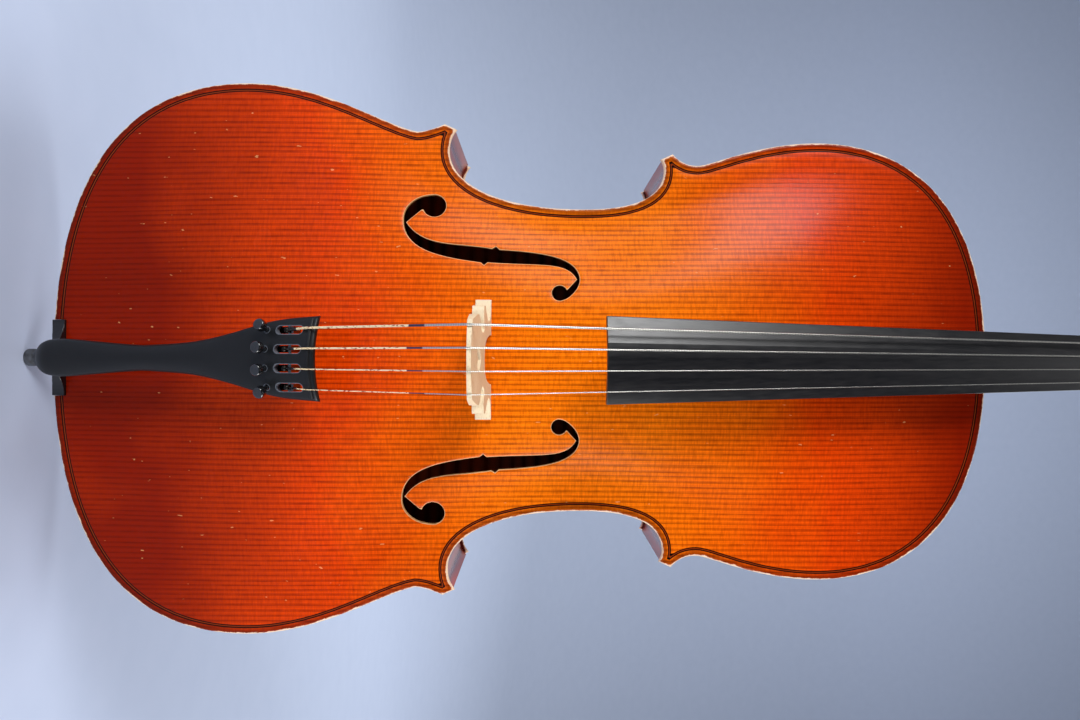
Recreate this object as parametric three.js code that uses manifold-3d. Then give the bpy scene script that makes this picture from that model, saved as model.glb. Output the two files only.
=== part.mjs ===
// A full-size cello with its endpin pushed in.
//
// Millimetres. +Z runs up the instrument, from the endpin's foot to the scroll, the strings face -Y
// and the bass side is -X. The origin is the middle of the flat rubber foot. Heights "along" the body
// are measured up from its lower edge, and a "rise" is measured out from the plane of the top's edge.

import * as THREE from 'three';
import { mergeVertices } from 'three/addons/utils/BufferGeometryUtils.js';
import Module from 'manifold-3d';

const wasm = await Module();
wasm.setup();

// ---- Driving dimensions -------------------------------------------------------------------------

// Body.
const FOOT_TO_BODY = 62;
const BODY_LENGTH = 755;
const LOWER_BOUT = 446.4;
const WAIST = 244.4;
const UPPER_BOUT = 353.6;
const LOWER_CORNERS = 381.6;
const UPPER_CORNERS = 334.6;
const CORNER_CUT_ALONG = 10;
const CORNER_CUT_ACROSS = 4.6;
const RIB_DEPTH = 118;
const RIB_WALL = 1.6;
const OVERHANG = 3;
const PLATE_THICKNESS = 4.5;
const ARCH_RISE = 25;
const EDGE_MARGIN = 9;
const LINING_WALL = 2.5;
const LINING_DEPTH = 14;
const CORNER_BLOCK_REACH = 34;
const END_BLOCK_WIDTH = 110;
const END_BLOCK_DEPTH = 30;
const BUTTON_WIDTH = 30;
const BUTTON_HEIGHT = 15;

// Inside.
const BASS_BAR_TO_LOWER_EDGE = 72.5;
const BASS_BAR_TO_UPPER_EDGE = 107.5;
const BASS_BAR_WIDTH = 11;
const BASS_BAR_HEIGHT = 25;
const BASS_BAR_OFFSET = 38;
const SOUND_POST_RADIUS = 5.5;
const SOUND_POST_OFFSET = 36;
const SOUND_POST_BEHIND_BRIDGE = 18;

// Bridge and strings. The stop, from the upper edge to the bridge, is set out on the body's mould.
const BODY_STOP = 0.5364 * BODY_LENGTH;
const BRIDGE_TOP_RISE = 113.7;
const BRIDGE_SPAN = 93;
const BRIDGE_FOOT_THICKNESS = 12.3;
const BRIDGE_TOP_THICKNESS = 3;
const PLAYING_RADIUS = 62;
const STRING_SPREAD_AT_BRIDGE = 47;
const STRING_SPREAD_AT_NUT = 22.8;
const STRING_SPREAD_AT_TAILPIECE = 44;
const STRING_DIAMETERS = { c: 1.7, g: 1.3, d: 0.9, a: 0.7 };

// Neck, fingerboard and nut.
const NECK_LENGTH = 280;
const FINGERBOARD_LENGTH = 594;
const FINGERBOARD_END_WIDTH = 62.7;
const NUT_WIDTH = 31.5;
const NUT_LENGTH = 7;
const NUT_STEP = 1.3;
const FINGERBOARD_END_RISE = 90;
const FINGERBOARD_NUT_RISE = -14.5;
const FINGERBOARD_EDGE = 6;
const BEVEL_RIDGE_AT_END = -12.3;
const BEVEL_RIDGE_AT_NUT = -5.5;
const NECK_THICKNESS_AT_HEEL = 21;
const NECK_THICKNESS_AT_NUT = 18.5;
const NECK_SIDE_FLAT = 3;
const NECK_STRAIGHT = 16;
const MORTISE_DEPTH = 10;

// Pegbox, scroll and pegs. The pegbox leans back from the neck.
const PEGBOX_LEAN = THREE.MathUtils.degToRad(17);
const PEGBOX_LENGTH = 146;
const PEGBOX_WIDTH_AT_NUT = 45;
const PEGBOX_WIDTH_AT_SCROLL = 33;
const PEGBOX_DEPTH_AT_NUT = 43;
const PEGBOX_DEPTH_AT_SCROLL = 31;
const PEGBOX_WALL = 8;
const PEGBOX_FLOOR = 10;
const SHAFT_INTO_PEGBOX = 3;
const CAVITY_START = 9;
const CAVITY_END = 128;
const SCROLL_RADIUS = 32;
const SCROLL_CENTRE_DEPTH = 20;
const SCROLL_TURNS = [
  { radius: 32, halfWidth: 15 },
  { radius: 22, halfWidth: 23 },
  { radius: 10, halfWidth: 31 },
];
const PEG_RADIUS_AT_HEAD = 7.2;
const PEG_RADIUS_AT_TIP = 6;
const PEG_HEAD_LENGTH = 30;
const PEG_HEAD_WIDTH = 27;
const PEG_HEAD_THICKNESS = 9;
const PEG_SHANK = 22;
const PEG_CLEARANCE = 0.25;
const PEG_SIDES = 16;
const PEG_PLACES = { c: 24, a: 50, g: 84, d: 110 };

// Tailpiece and fine tuners.
const TAILPIECE_LENGTH = 238.6;
const TAILPIECE_FRET_RISE = 80;
const TAILPIECE_TIP_RISE = 30;
const TAILPIECE_TIP_ALONG = 0.4;
const TAILPIECE_SHELL = 5;
const TAILPIECE_NECK_CROWN = 5.5;
const TAILPIECE_FRET = 4;
const TAILPIECE_FRET_HEIGHT = 1.6;
const SLOT_LENGTH = 21;
const SLOT_WIDTH = 6;
const SLOT_START = 9.7;
const BALL_RADIUS = 2.1;
const BALL_PLACE = 22.4;
const FORK_PLACE = 17;
const LEVER_PIN_PLACE = 24;
const LEVER_PIN_DEPTH = 11;
const LEVER_PIN_RADIUS = 1.25;
const LEVER_WIDTH = 5;
const TUNER_PLACE = 38;
const TUNER_STEM_RADIUS = 1.75;
const TUNER_KNOB_RADIUS = 4.2;
const TUNER_KNOB_HEIGHT = 6;
const TUNER_PROUD = 12.5;

// Saddle, tailcord and endpin.
const SADDLE_WIDTH = 61;
const SADDLE_DEPTH = 10.5;
const SADDLE_RISE = 9;
const TAILCORD_RADIUS = 1.25;
const TAILCORD_SPREAD = 6;
const TAILCORD_PLACE = 222;
const PLUG_RADIUS = 12.5;
const PLUG_FLANGE_RADIUS = 15;
const PLUG_GROOVE_RADIUS = 10.8;
const PLUG_OUT = 22;
const PLUG_IN = 36;
const FERRULE_RADIUS = 9.5;
const FERRULE_LENGTH = 11;
const ROD_RADIUS = 5;
const ROD_LENGTH = 490;
const RUBBER_RADIUS = 7.6;
const RUBBER_LENGTH = 24;
const RUBBER_SOCKET = 16;
const THUMB_SCREW_RADIUS = 2.5;

// Gaps between pieces that meet.
const GAP = 0.3;

// ---- Derived places -----------------------------------------------------------------------------

const SIDE = { c: -1.5, g: -0.5, d: 0.5, a: 1.5 };
const STRING_NAMES = Object.keys(SIDE);
const INNER_FACE = RIB_DEPTH / 2;
const EDGE_PLANE = INNER_FACE + PLATE_THICKNESS;
const BRIDGE_ALONG = BODY_LENGTH - BODY_STOP;
const NUT_ALONG = BODY_LENGTH + NECK_LENGTH;
const FINGERBOARD_END_ALONG = NUT_ALONG - FINGERBOARD_LENGTH;
const INSIDE_RIBS = OVERHANG + RIB_WALL + GAP;

// ---- Small helpers ------------------------------------------------------------------------------

// Turns a three.js geometry into a solid that can be cut and joined.
function solidOf(geometry) {
  const bare = geometry.clone();
  bare.deleteAttribute('normal');
  bare.deleteAttribute('uv');
  const merged = mergeVertices(bare, 1e-4);
  const corners = merged.index.array;
  const kept = [];
  for (let i = 0; i < corners.length; i += 3) {
    const [a, b, c] = [corners[i], corners[i + 1], corners[i + 2]];
    if (a !== b && b !== c && c !== a) kept.push(a, b, c);
  }
  const vertProperties = new Float32Array(merged.attributes.position.array);
  return new wasm.Manifold(new wasm.Mesh({ numProp: 3, vertProperties, triVerts: new Uint32Array(kept) }));
}

function geometryOf(solid) {
  const mesh = solid.getMesh();
  const geometry = new THREE.BufferGeometry();
  geometry.setAttribute('position', new THREE.BufferAttribute(new Float32Array(mesh.vertProperties), 3));
  geometry.setIndex(new THREE.BufferAttribute(new Uint32Array(mesh.triVerts), 1));
  geometry.computeVertexNormals();
  return geometry;
}

const joined = (solids) => solids.reduce((whole, piece) => whole.add(piece));

// A flat shape drawn in X and Z, given a thickness from one Y to another.
function slabAlongY(shape, from, to, curveSegments = 6) {
  const geometry = new THREE.ExtrudeGeometry(shape, { depth: to - from, bevelEnabled: false, curveSegments });
  return geometry.rotateX(Math.PI / 2).translate(0, to, 0);
}

// A side view drawn with Z across and Y up, given a width centred on X.
function slabAlongX(outline, width, centre = 0, curveSegments = 6) {
  const geometry = new THREE.ExtrudeGeometry(outline, { depth: width, bevelEnabled: false, curveSegments });
  return geometry.rotateY(-Math.PI / 2).translate(centre + width / 2, 0, 0);
}

// A cross-section drawn in X and Y, run from one Z to another.
function prismAlongZ(shape, from, to, curveSegments = 6) {
  const geometry = new THREE.ExtrudeGeometry(shape, { depth: to - from, bevelEnabled: false, curveSegments });
  return geometry.translate(0, 0, from);
}

function boxBetween(low, high) {
  const size = high.map((value, axis) => value - low[axis]);
  const middle = high.map((value, axis) => (value + low[axis]) / 2);
  return new THREE.BoxGeometry(...size).translate(...middle);
}

// A block of cells whose corners are moved by place(across, through, along), each from 0 to 1.
function shapedBlock(cellsAcross, cellsAlong, place) {
  const geometry = new THREE.BoxGeometry(1, 1, 1, cellsAcross, 1, cellsAlong);
  const position = geometry.attributes.position;
  for (let i = 0; i < position.count; i += 1) {
    const spot = place(position.getX(i) + 0.5, position.getY(i) + 0.5, position.getZ(i) + 0.5);
    position.setXYZ(i, ...spot);
  }
  return geometry;
}

// A turned piece: a list of [radius, height] from the bottom to the top, spun about Z.
function turned(profile, sides = 20) {
  const points = profile.map(([radius, height]) => new THREE.Vector2(radius, height));
  return new THREE.LatheGeometry(points, sides).rotateX(Math.PI / 2);
}

// The radius at which a many-sided hole has its flats at the asked radius.
const roundHole = (radius, sides) => radius / Math.cos(Math.PI / sides);

function rod(radius, from, to, sides = 16) {
  return turned([[0, from], [radius, from], [radius, to], [0, to]], sides);
}

// A path through chosen points, with a step of the sweep on each point.
class Route extends THREE.Curve {
  constructor(points) {
    super();
    this.points = points;
  }

  getPoint(share, target = new THREE.Vector3()) {
    const place = share * (this.points.length - 1);
    const index = Math.min(Math.floor(place), this.points.length - 2);
    return target.lerpVectors(this.points[index], this.points[index + 1], place - index);
  }

  getUtoTmapping(share) {
    return share;
  }
}

// A round cord of one thickness along a path.
function cordAlong(points, radius, sides = 8) {
  const section = new THREE.Shape();
  section.absarc(0, 0, radius, 0, 2 * Math.PI);
  const extrudePath = new Route(points);
  const options = { steps: points.length - 1, curveSegments: sides / 2, extrudePath, bevelEnabled: false };
  return new THREE.ExtrudeGeometry(section, options);
}

const mix = (from, to, share) => from + (to - from) * share;

// Steps between hand-set stations, [place, value], in straight lines.
function valueAt(stations, place) {
  const next = stations.findIndex(([station]) => station >= place);
  if (next === 0) return stations[0][1];
  if (next < 0) return stations[stations.length - 1][1];
  const [before, after] = [stations[next - 1], stations[next]];
  return mix(before[1], after[1], (place - before[0]) / (after[0] - before[0]));
}

// How far a crowned surface of the playing radius drops at a distance from its middle.
const crownDrop = (x) => PLAYING_RADIUS - Math.sqrt(PLAYING_RADIUS ** 2 - x ** 2);

const group = new THREE.Group();

function addPiece(name, geometry, color, roughness, metalness = 0) {
  const material = new THREE.MeshStandardMaterial({ color, roughness, metalness });
  const mesh = new THREE.Mesh(geometry, material);
  mesh.name = name;
  group.add(mesh);
  return mesh;
}

const lifted = (geometry) => geometry.translate(0, 0, FOOT_TO_BODY);

// Finishes, as [colour, roughness, metalness].
const SPRUCE = ['#b8350a', 0.32];
const MAPLE = ['#7c2408', 0.32];
const BARE_SPRUCE = ['#d9b988', 0.7];
const WILLOW = ['#cfae80', 0.75];
const BRIDGE_MAPLE = ['#d3a46e', 0.55];
const EBONY = ['#15110f', 0.4];
const COMPOSITE = ['#232529', 0.45];
const BLACK_METAL = ['#0c0c0e', 0.25, 0.6];
const STEEL = ['#b9bcc2', 0.3, 1];
const STRING_METAL = ['#a9a6a0', 0.35, 1];
const RUBBER = ['#2b2c30', 0.8];
const CORD = ['#1c1c1f', 0.6];

// ---- Outline of the body ------------------------------------------------------------------------

// The outline is drawn as a luthier's mould is: widths in millimetres, and places along the body as
// shares of its length. Each run is half of a rib's line, on the +X side and going up.
const along = (share) => share * BODY_LENGTH;
const spot = (x, share) => new THREE.Vector2(x, along(share));

function runPoints(curves, steps) {
  const points = [];
  curves.forEach((curve, index) => {
    const part = curve.getPoints(steps[index]);
    points.push(...(index === 0 ? part : part.slice(1)));
  });
  return points;
}

const lowerTip = spot(LOWER_CORNERS / 2, 0.4185);
const upperTip = spot(UPPER_CORNERS / 2, 0.6633);
const lowerTipInner = lowerTip.clone().add(new THREE.Vector2(-CORNER_CUT_ACROSS, CORNER_CUT_ALONG));
const upperTipInner = upperTip.clone().add(new THREE.Vector2(-CORNER_CUT_ACROSS, -CORNER_CUT_ALONG));
const lowerCornerNeck = spot(LOWER_CORNERS / 2 - 6.2, 0.3894);
const upperCornerNeck = spot(UPPER_CORNERS / 2 - 9.3, 0.6901);
const lowerWidest = spot(LOWER_BOUT / 2, 0.2079);
const upperWidest = spot(UPPER_BOUT / 2, 0.8185);
const waistNarrowest = spot(WAIST / 2, 0.5669);
const lowerTurn = spot(LOWER_CORNERS / 2 - 21.8, 0.4238);
const upperTurn = spot(UPPER_CORNERS / 2 - 13.3, 0.6539);

const lowerRun = runPoints([
  new THREE.CubicBezierCurve(spot(0, 0), spot(0.588 * LOWER_BOUT / 2, 0), spot(LOWER_BOUT / 2, 0.0595),
    lowerWidest),
  new THREE.CubicBezierCurve(lowerWidest, spot(LOWER_BOUT / 2, 0.2887),
    spot(LOWER_CORNERS / 2 - 1.4, 0.353), lowerCornerNeck),
  new THREE.QuadraticBezierCurve(lowerCornerNeck, spot(LOWER_CORNERS / 2 - 6, 0.4), lowerTip),
], [10, 6, 3]);

const waistRun = runPoints([
  new THREE.QuadraticBezierCurve(lowerTipInner, spot(LOWER_CORNERS / 2 - 10.8, 0.4238), lowerTurn),
  new THREE.CubicBezierCurve(lowerTurn, spot(LOWER_CORNERS / 2 - 47.9, 0.4238), spot(WAIST / 2, 0.4742),
    waistNarrowest),
  new THREE.CubicBezierCurve(waistNarrowest, spot(WAIST / 2, 0.6158), spot(WAIST / 2 + 7.4, 0.6539),
    upperTurn),
  new THREE.QuadraticBezierCurve(upperTurn, spot(UPPER_CORNERS / 2 - 8.3, 0.6539), upperTipInner),
], [2, 7, 7, 2]);

const upperRun = runPoints([
  new THREE.QuadraticBezierCurve(upperTip, spot(UPPER_CORNERS / 2 - 9.3, 0.674), upperCornerNeck),
  new THREE.CubicBezierCurve(upperCornerNeck, spot(UPPER_CORNERS / 2 - 9.3, 0.7052),
    spot(UPPER_BOUT / 2, 0.7542), upperWidest),
  new THREE.CubicBezierCurve(upperWidest, spot(UPPER_BOUT / 2, 0.9254), spot(0.69 * UPPER_BOUT / 2, 1),
    spot(0, 1)),
], [3, 5, 9]);

const mirrored = (points) => points.map((point) => new THREE.Vector2(-point.x, point.y)).reverse();

// A run moved into the body by a distance, square to its own direction.
function inset(points, distance) {
  return points.map((point, index) => {
    const before = points[Math.max(index - 1, 0)];
    const after = points[Math.min(index + 1, points.length - 1)];
    const direction = after.clone().sub(before).normalize();
    return new THREE.Vector2(point.x - direction.y * distance, point.y + direction.x * distance);
  });
}

// The stretch of a run between two distances along it.
function stretch(points, from, to) {
  const kept = [];
  let travelled = 0;
  for (let i = 1; i < points.length; i += 1) {
    const length = points[i].distanceTo(points[i - 1]);
    const cut = (distance) => points[i - 1].clone().lerp(points[i], (distance - travelled) / length);
    if (travelled <= from && from < travelled + length) kept.push(cut(from));
    if (travelled + length > from && travelled + length < to) kept.push(points[i].clone());
    if (travelled < to && to <= travelled + length) kept.push(cut(to));
    travelled += length;
  }
  return kept;
}

const runLength = (points) => points.slice(1).reduce((sum, point, i) => sum + point.distanceTo(points[i]), 0);

// A strip that lies between two insets of a run.
function strip(points, near, far) {
  return new THREE.Shape([...inset(points, near), ...inset(points, far).reverse()]);
}

const mirrorShape = (shape) => new THREE.Shape(mirrored(shape.getPoints()));

const sideShapes = (shape) => ({ bass: mirrorShape(shape), treble: shape });

// ---- Plates -------------------------------------------------------------------------------------

// The half-width that the arching follows: the outline without its corners.
function archHalfWidth(place) {
  const rounded = (share) => (1 - Math.min(1, share) ** 2.3) ** (1 / 2.3);
  const eased = (share) => (1 - Math.cos(Math.PI * share)) / 2;
  const [lower, waist, upper] = [lowerWidest, waistNarrowest, upperWidest];
  if (place <= lower.y) return lower.x * rounded((lower.y - place) / lower.y);
  if (place <= waist.y) return mix(lower.x, waist.x, eased((place - lower.y) / (waist.y - lower.y)));
  if (place <= upper.y) return mix(waist.x, upper.x, eased((place - waist.y) / (upper.y - waist.y)));
  return upper.x * rounded((place - upper.y) / (BODY_LENGTH - upper.y));
}

// How far the arch stands above the edge at a place on a plate.
function archRise(x, place) {
  const halfLength = BODY_LENGTH / 2 - EDGE_MARGIN;
  const lengthShare = Math.min(1, Math.abs(place - BODY_LENGTH / 2) / halfLength);
  const halfWidth = Math.max(1, archHalfWidth(place) - EDGE_MARGIN);
  const widthShare = Math.min(1, Math.abs(x) / halfWidth);
  const lengthwise = Math.cos(Math.PI / 2 * lengthShare ** 2.6) ** 2;
  const crosswise = Math.cos(Math.PI / 2 * widthShare ** 1.5) ** 2;
  return ARCH_RISE * lengthwise * crosswise;
}

// An arched sheet with its outer face on the plate's, or shifted out from it; outward is -1 for the
// top and 1 for the back.
function archedSheet(outward, shift = 0, thickness = PLATE_THICKNESS) {
  return shapedBlock(12, 20, (across, through, share) => {
    const x = (across - 0.5) * (LOWER_BOUT + 2);
    const place = mix(-1, BODY_LENGTH + 1, share);
    const outer = EDGE_PLANE + archRise(x, place) + shift;
    const inward = outward < 0 ? through : 1 - through;
    return [x, outward * (outer - thickness * inward), place];
  });
}

const outlineRight = [...lowerRun, ...waistRun, ...upperRun];
const outlinePoints = [...outlineRight, ...mirrored(outlineRight).slice(1, -1)];
const PLATE_REACH = EDGE_PLANE + ARCH_RISE + 10;

function plateBlank(outward) {
  const [from, to] = outward < 0 ? [-PLATE_REACH, 0] : [0, PLATE_REACH];
  const outline = solidOf(slabAlongY(new THREE.Shape(outlinePoints), from, to));
  return outline.intersect(solidOf(archedSheet(outward)));
}

// The f-shaped sound hole of the bass side, placed from the line of the bridge.
const fSpot = (x, up) => [x, BRIDGE_ALONG + up];

function soundHole() {
  const lowerEye = { x: -123.5, up: -41.4, radius: 9.4 };
  const upperEye = { x: -52.6, up: 59.3, radius: 6.2 };
  const degrees = THREE.MathUtils.degToRad;
  const hole = new THREE.Shape();
  hole.moveTo(...fSpot(-132.8, -42.7));
  hole.bezierCurveTo(...fSpot(-132.3, -55), ...fSpot(-124, -65.4), ...fSpot(-112.5, -65.4));
  hole.bezierCurveTo(...fSpot(-84, -65.4), ...fSpot(-80.5, -30), ...fSpot(-76.8, -3));
  hole.lineTo(...fSpot(-74.6, -0.5));
  hole.lineTo(...fSpot(-77, 2));
  hole.bezierCurveTo(...fSpot(-74.5, 45.8), ...fSpot(-79, 65.2), ...fSpot(-63.6, 72.9));
  hole.lineTo(...fSpot(-55.6, 65.7));
  hole.absarc(...fSpot(upperEye.x, upperEye.up), upperEye.radius, degrees(115), degrees(366), false);
  hole.bezierCurveTo(...fSpot(-47.6, 67.3), ...fSpot(-57.1, 76.3), ...fSpot(-65.5, 75.1));
  hole.bezierCurveTo(...fSpot(-83.8, 72.3), ...fSpot(-86.3, 40.5), ...fSpot(-87.7, 11.5));
  hole.lineTo(...fSpot(-90.4, 8.5));
  hole.lineTo(...fSpot(-88.4, 5.5));
  hole.bezierCurveTo(...fSpot(-93.3, -25.1), ...fSpot(-88, -48.3), ...fSpot(-108.9, -62.9));
  hole.lineTo(...fSpot(-119.6, -51.7));
  hole.absarc(...fSpot(lowerEye.x, lowerEye.up), lowerEye.radius, degrees(-69), degrees(188), false);
  return new THREE.Shape(hole.getPoints(5));
}

function saddleNotch() {
  const half = SADDLE_WIDTH / 2 + GAP;
  return boxBetween([-half, -PLATE_REACH, -2], [half, 0, SADDLE_DEPTH + GAP]);
}

function buildPlates() {
  const hole = soundHole();
  const holes = [hole, mirrorShape(hole)].map((shape) => solidOf(slabAlongY(shape, -PLATE_REACH, 0)));
  const top = plateBlank(-1).subtract(joined(holes)).subtract(solidOf(saddleNotch()));
  addPiece('top_plate', lifted(geometryOf(top.subtract(solidOf(neckPocket())))), ...SPRUCE);
  const half = BUTTON_WIDTH / 2;
  const tab = new THREE.Shape();
  tab.moveTo(-half, BODY_LENGTH - 6);
  tab.lineTo(half, BODY_LENGTH - 6);
  tab.lineTo(half, BODY_LENGTH + BUTTON_HEIGHT - 8);
  tab.quadraticCurveTo(half, BODY_LENGTH + BUTTON_HEIGHT, 0, BODY_LENGTH + BUTTON_HEIGHT);
  tab.quadraticCurveTo(-half, BODY_LENGTH + BUTTON_HEIGHT, -half, BODY_LENGTH + BUTTON_HEIGHT - 8);
  const button = solidOf(slabAlongY(tab, INNER_FACE, EDGE_PLANE));
  addPiece('back_plate', lifted(geometryOf(plateBlank(1).add(button))), ...MAPLE);
}

// ---- Ribs, blocks and linings -------------------------------------------------------------------

const RIB_FACE = INNER_FACE - GAP;
const lowerLength = runLength(lowerRun);
const waistLength = runLength(waistRun);
const upperLength = runLength(upperRun);

// The slot in the body that the neck's heel sits in, tapering towards the back.
const HEEL_FRONT_HALF = mix(FINGERBOARD_END_WIDTH, NUT_WIDTH,
  (BODY_LENGTH - FINGERBOARD_END_ALONG) / FINGERBOARD_LENGTH) / 2;
const HEEL_FRONT = -EDGE_PLANE - 40;

function heelTaper(grow, from, to) {
  const front = HEEL_FRONT_HALF + grow;
  const back = BUTTON_WIDTH / 2 + grow;
  const reach = INNER_FACE - GAP + (grow > 0 ? 1 : 0);
  const section = new THREE.Shape([
    new THREE.Vector2(-front, HEEL_FRONT),
    new THREE.Vector2(front, HEEL_FRONT),
    new THREE.Vector2(back, reach),
    new THREE.Vector2(-back, reach),
  ]);
  return prismAlongZ(section, from, to);
}

function neckPocket() {
  return heelTaper(GAP, BODY_LENGTH - MORTISE_DEPTH - GAP, BODY_LENGTH + 30);
}

function buildRibs() {
  const lowerHalf = strip(lowerRun, OVERHANG, OVERHANG + RIB_WALL).getPoints();
  const count = lowerHalf.length / 2;
  const outer = lowerHalf.slice(0, count);
  const inner = lowerHalf.slice(count).reverse();
  const wholeOuter = [...mirrored(outer).slice(0, -1), ...outer];
  const wholeInner = [...mirrored(inner).slice(0, -1), ...inner];
  const lowerShape = new THREE.Shape([...wholeOuter, ...wholeInner.reverse()]);
  const lower = solidOf(slabAlongY(lowerShape, -RIB_FACE, RIB_FACE));
  const hole = solidOf(rod(roundHole(PLUG_RADIUS + GAP, 20), -5, 20, 20));
  addPiece('lower_rib', lifted(geometryOf(lower.subtract(hole))), ...MAPLE);
  const waistShapes = sideShapes(strip(waistRun, OVERHANG, OVERHANG + RIB_WALL));
  const upperShapes = sideShapes(strip(upperRun, OVERHANG, OVERHANG + RIB_WALL));
  const pocket = solidOf(neckPocket());
  for (const side of ['bass', 'treble']) {
    addPiece(`waist_rib_${side}`, lifted(slabAlongY(waistShapes[side], -RIB_FACE, RIB_FACE)), ...MAPLE);
    const upper = solidOf(slabAlongY(upperShapes[side], -RIB_FACE, RIB_FACE)).subtract(pocket);
    addPiece(`upper_rib_${side}`, lifted(geometryOf(upper)), ...MAPLE);
  }
}

function buildBlocks() {
  const reach = CORNER_BLOCK_REACH;
  const cornerShapes = {
    lower: new THREE.Shape([
      ...inset(stretch(lowerRun, lowerLength - reach, lowerLength), INSIDE_RIBS),
      ...inset(stretch(waistRun, 0, reach), INSIDE_RIBS),
    ]),
    upper: new THREE.Shape([
      ...inset(stretch(waistRun, waistLength - reach, waistLength), INSIDE_RIBS),
      ...inset(stretch(upperRun, 0, reach), INSIDE_RIBS),
    ]),
  };
  for (const [level, shape] of Object.entries(cornerShapes)) {
    for (const [side, sided] of Object.entries(sideShapes(shape))) {
      addPiece(`${level}_corner_block_${side}`, lifted(slabAlongY(sided, -RIB_FACE, RIB_FACE)), ...WILLOW);
    }
  }
  const half = END_BLOCK_WIDTH / 2;
  const bottomEdge = inset(stretch(lowerRun, 0, half), INSIDE_RIBS);
  const bottomInner = [new THREE.Vector2(half - 6, END_BLOCK_DEPTH), new THREE.Vector2(0, END_BLOCK_DEPTH)];
  const bottomHalf = [...bottomEdge, ...bottomInner];
  const bottomShape = new THREE.Shape([...bottomHalf, ...mirrored(bottomHalf).slice(1, -1)]);
  const plugHole = solidOf(rod(roundHole(PLUG_RADIUS + GAP, 20), -5, END_BLOCK_DEPTH + 20, 20));
  const bottom = solidOf(slabAlongY(bottomShape, -RIB_FACE, RIB_FACE)).subtract(plugHole);
  addPiece('bottom_block', lifted(geometryOf(bottom)), ...WILLOW);
  const topEdge = inset(stretch(upperRun, upperLength - half, upperLength), INSIDE_RIBS);
  const topFace = BODY_LENGTH - END_BLOCK_DEPTH;
  const topInner = [new THREE.Vector2(0, topFace), new THREE.Vector2(half - 6, topFace)];
  const topHalf = [...topInner, ...topEdge];
  const topShape = new THREE.Shape([...topHalf, ...mirrored(topHalf).slice(1, -1)]);
  const topBlock = solidOf(slabAlongY(topShape, -RIB_FACE, RIB_FACE)).subtract(solidOf(neckPocket()));
  addPiece('top_block', lifted(geometryOf(topBlock)), ...WILLOW);
}

function buildLinings() {
  const clear = CORNER_BLOCK_REACH + 2;
  const endClear = END_BLOCK_WIDTH / 2 + 2;
  const runs = {
    lower: stretch(lowerRun, endClear, lowerLength - clear),
    waist: stretch(waistRun, clear, waistLength - clear),
    upper: stretch(upperRun, clear, upperLength - endClear),
  };
  const levels = { top: [-RIB_FACE, -RIB_FACE + LINING_DEPTH], back: [RIB_FACE - LINING_DEPTH, RIB_FACE] };
  for (const [part, run] of Object.entries(runs)) {
    const shapes = sideShapes(strip(run, INSIDE_RIBS, INSIDE_RIBS + LINING_WALL));
    for (const [side, shape] of Object.entries(shapes)) {
      for (const [plate, [from, to]] of Object.entries(levels)) {
        addPiece(`${part}_lining_${plate}_${side}`, lifted(slabAlongY(shape, from, to)), ...WILLOW);
      }
    }
  }
}

// ---- Bass bar and sound post --------------------------------------------------------------------

const BITE = 2;

function buildInside() {
  const bar = shapedBlock(1, 12, (across, through, share) => {
    const x = -BASS_BAR_OFFSET + (across - 0.5) * BASS_BAR_WIDTH;
    const place = mix(BASS_BAR_TO_LOWER_EDGE, BODY_LENGTH - BASS_BAR_TO_UPPER_EDGE, share);
    const height = mix(5, BASS_BAR_HEIGHT, Math.sin(Math.PI * share));
    const level = INNER_FACE + archRise(-BASS_BAR_OFFSET, place);
    return [x, -level + mix(-BITE, height, through), place];
  });
  const trimmed = solidOf(bar).subtract(solidOf(archedSheet(-1, -GAP)));
  addPiece('bass_bar', lifted(geometryOf(trimmed)), ...BARE_SPRUCE);

  const postAlong = BRIDGE_ALONG - SOUND_POST_BEHIND_BRIDGE;
  const reach = INNER_FACE + archRise(SOUND_POST_OFFSET, postAlong) + BITE;
  const post = rod(SOUND_POST_RADIUS, -reach, reach, 12).rotateX(-Math.PI / 2);
  post.translate(SOUND_POST_OFFSET, 0, postAlong);
  const sheets = solidOf(archedSheet(-1, -GAP)).add(solidOf(archedSheet(1, -GAP)));
  addPiece('sound_post', lifted(geometryOf(solidOf(post).subtract(sheets))), ...BARE_SPRUCE);
}

// ---- Fingerboard, nut and neck ------------------------------------------------------------------

const boardShare = (place) => (place - FINGERBOARD_END_ALONG) / FINGERBOARD_LENGTH;
const boardHalfWidth = (place) => mix(FINGERBOARD_END_WIDTH, NUT_WIDTH, boardShare(place)) / 2;
const boardTopRise = (place) => mix(FINGERBOARD_END_RISE, FINGERBOARD_NUT_RISE, boardShare(place));

// The flat underside of the fingerboard, where it is glued to the neck.
function boardGlueRise(place) {
  const under = (width, rise) => rise - crownDrop(width / 2) - FINGERBOARD_EDGE;
  const atEnd = under(FINGERBOARD_END_WIDTH, FINGERBOARD_END_RISE);
  const atNut = under(NUT_WIDTH, FINGERBOARD_NUT_RISE);
  return mix(atEnd, atNut, boardShare(place));
}

// The playing surface: crowned, with a flat planed under the lowest string.
function boardSurface(x, place) {
  const ridge = mix(BEVEL_RIDGE_AT_END, BEVEL_RIDGE_AT_NUT, boardShare(place));
  const edge = -boardHalfWidth(place);
  if (x >= ridge) return boardTopRise(place) - crownDrop(x);
  return boardTopRise(place) - mix(crownDrop(ridge), crownDrop(edge), (x - ridge) / (edge - ridge));
}

const outFromEdge = (rise) => -EDGE_PLANE - rise;

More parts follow.
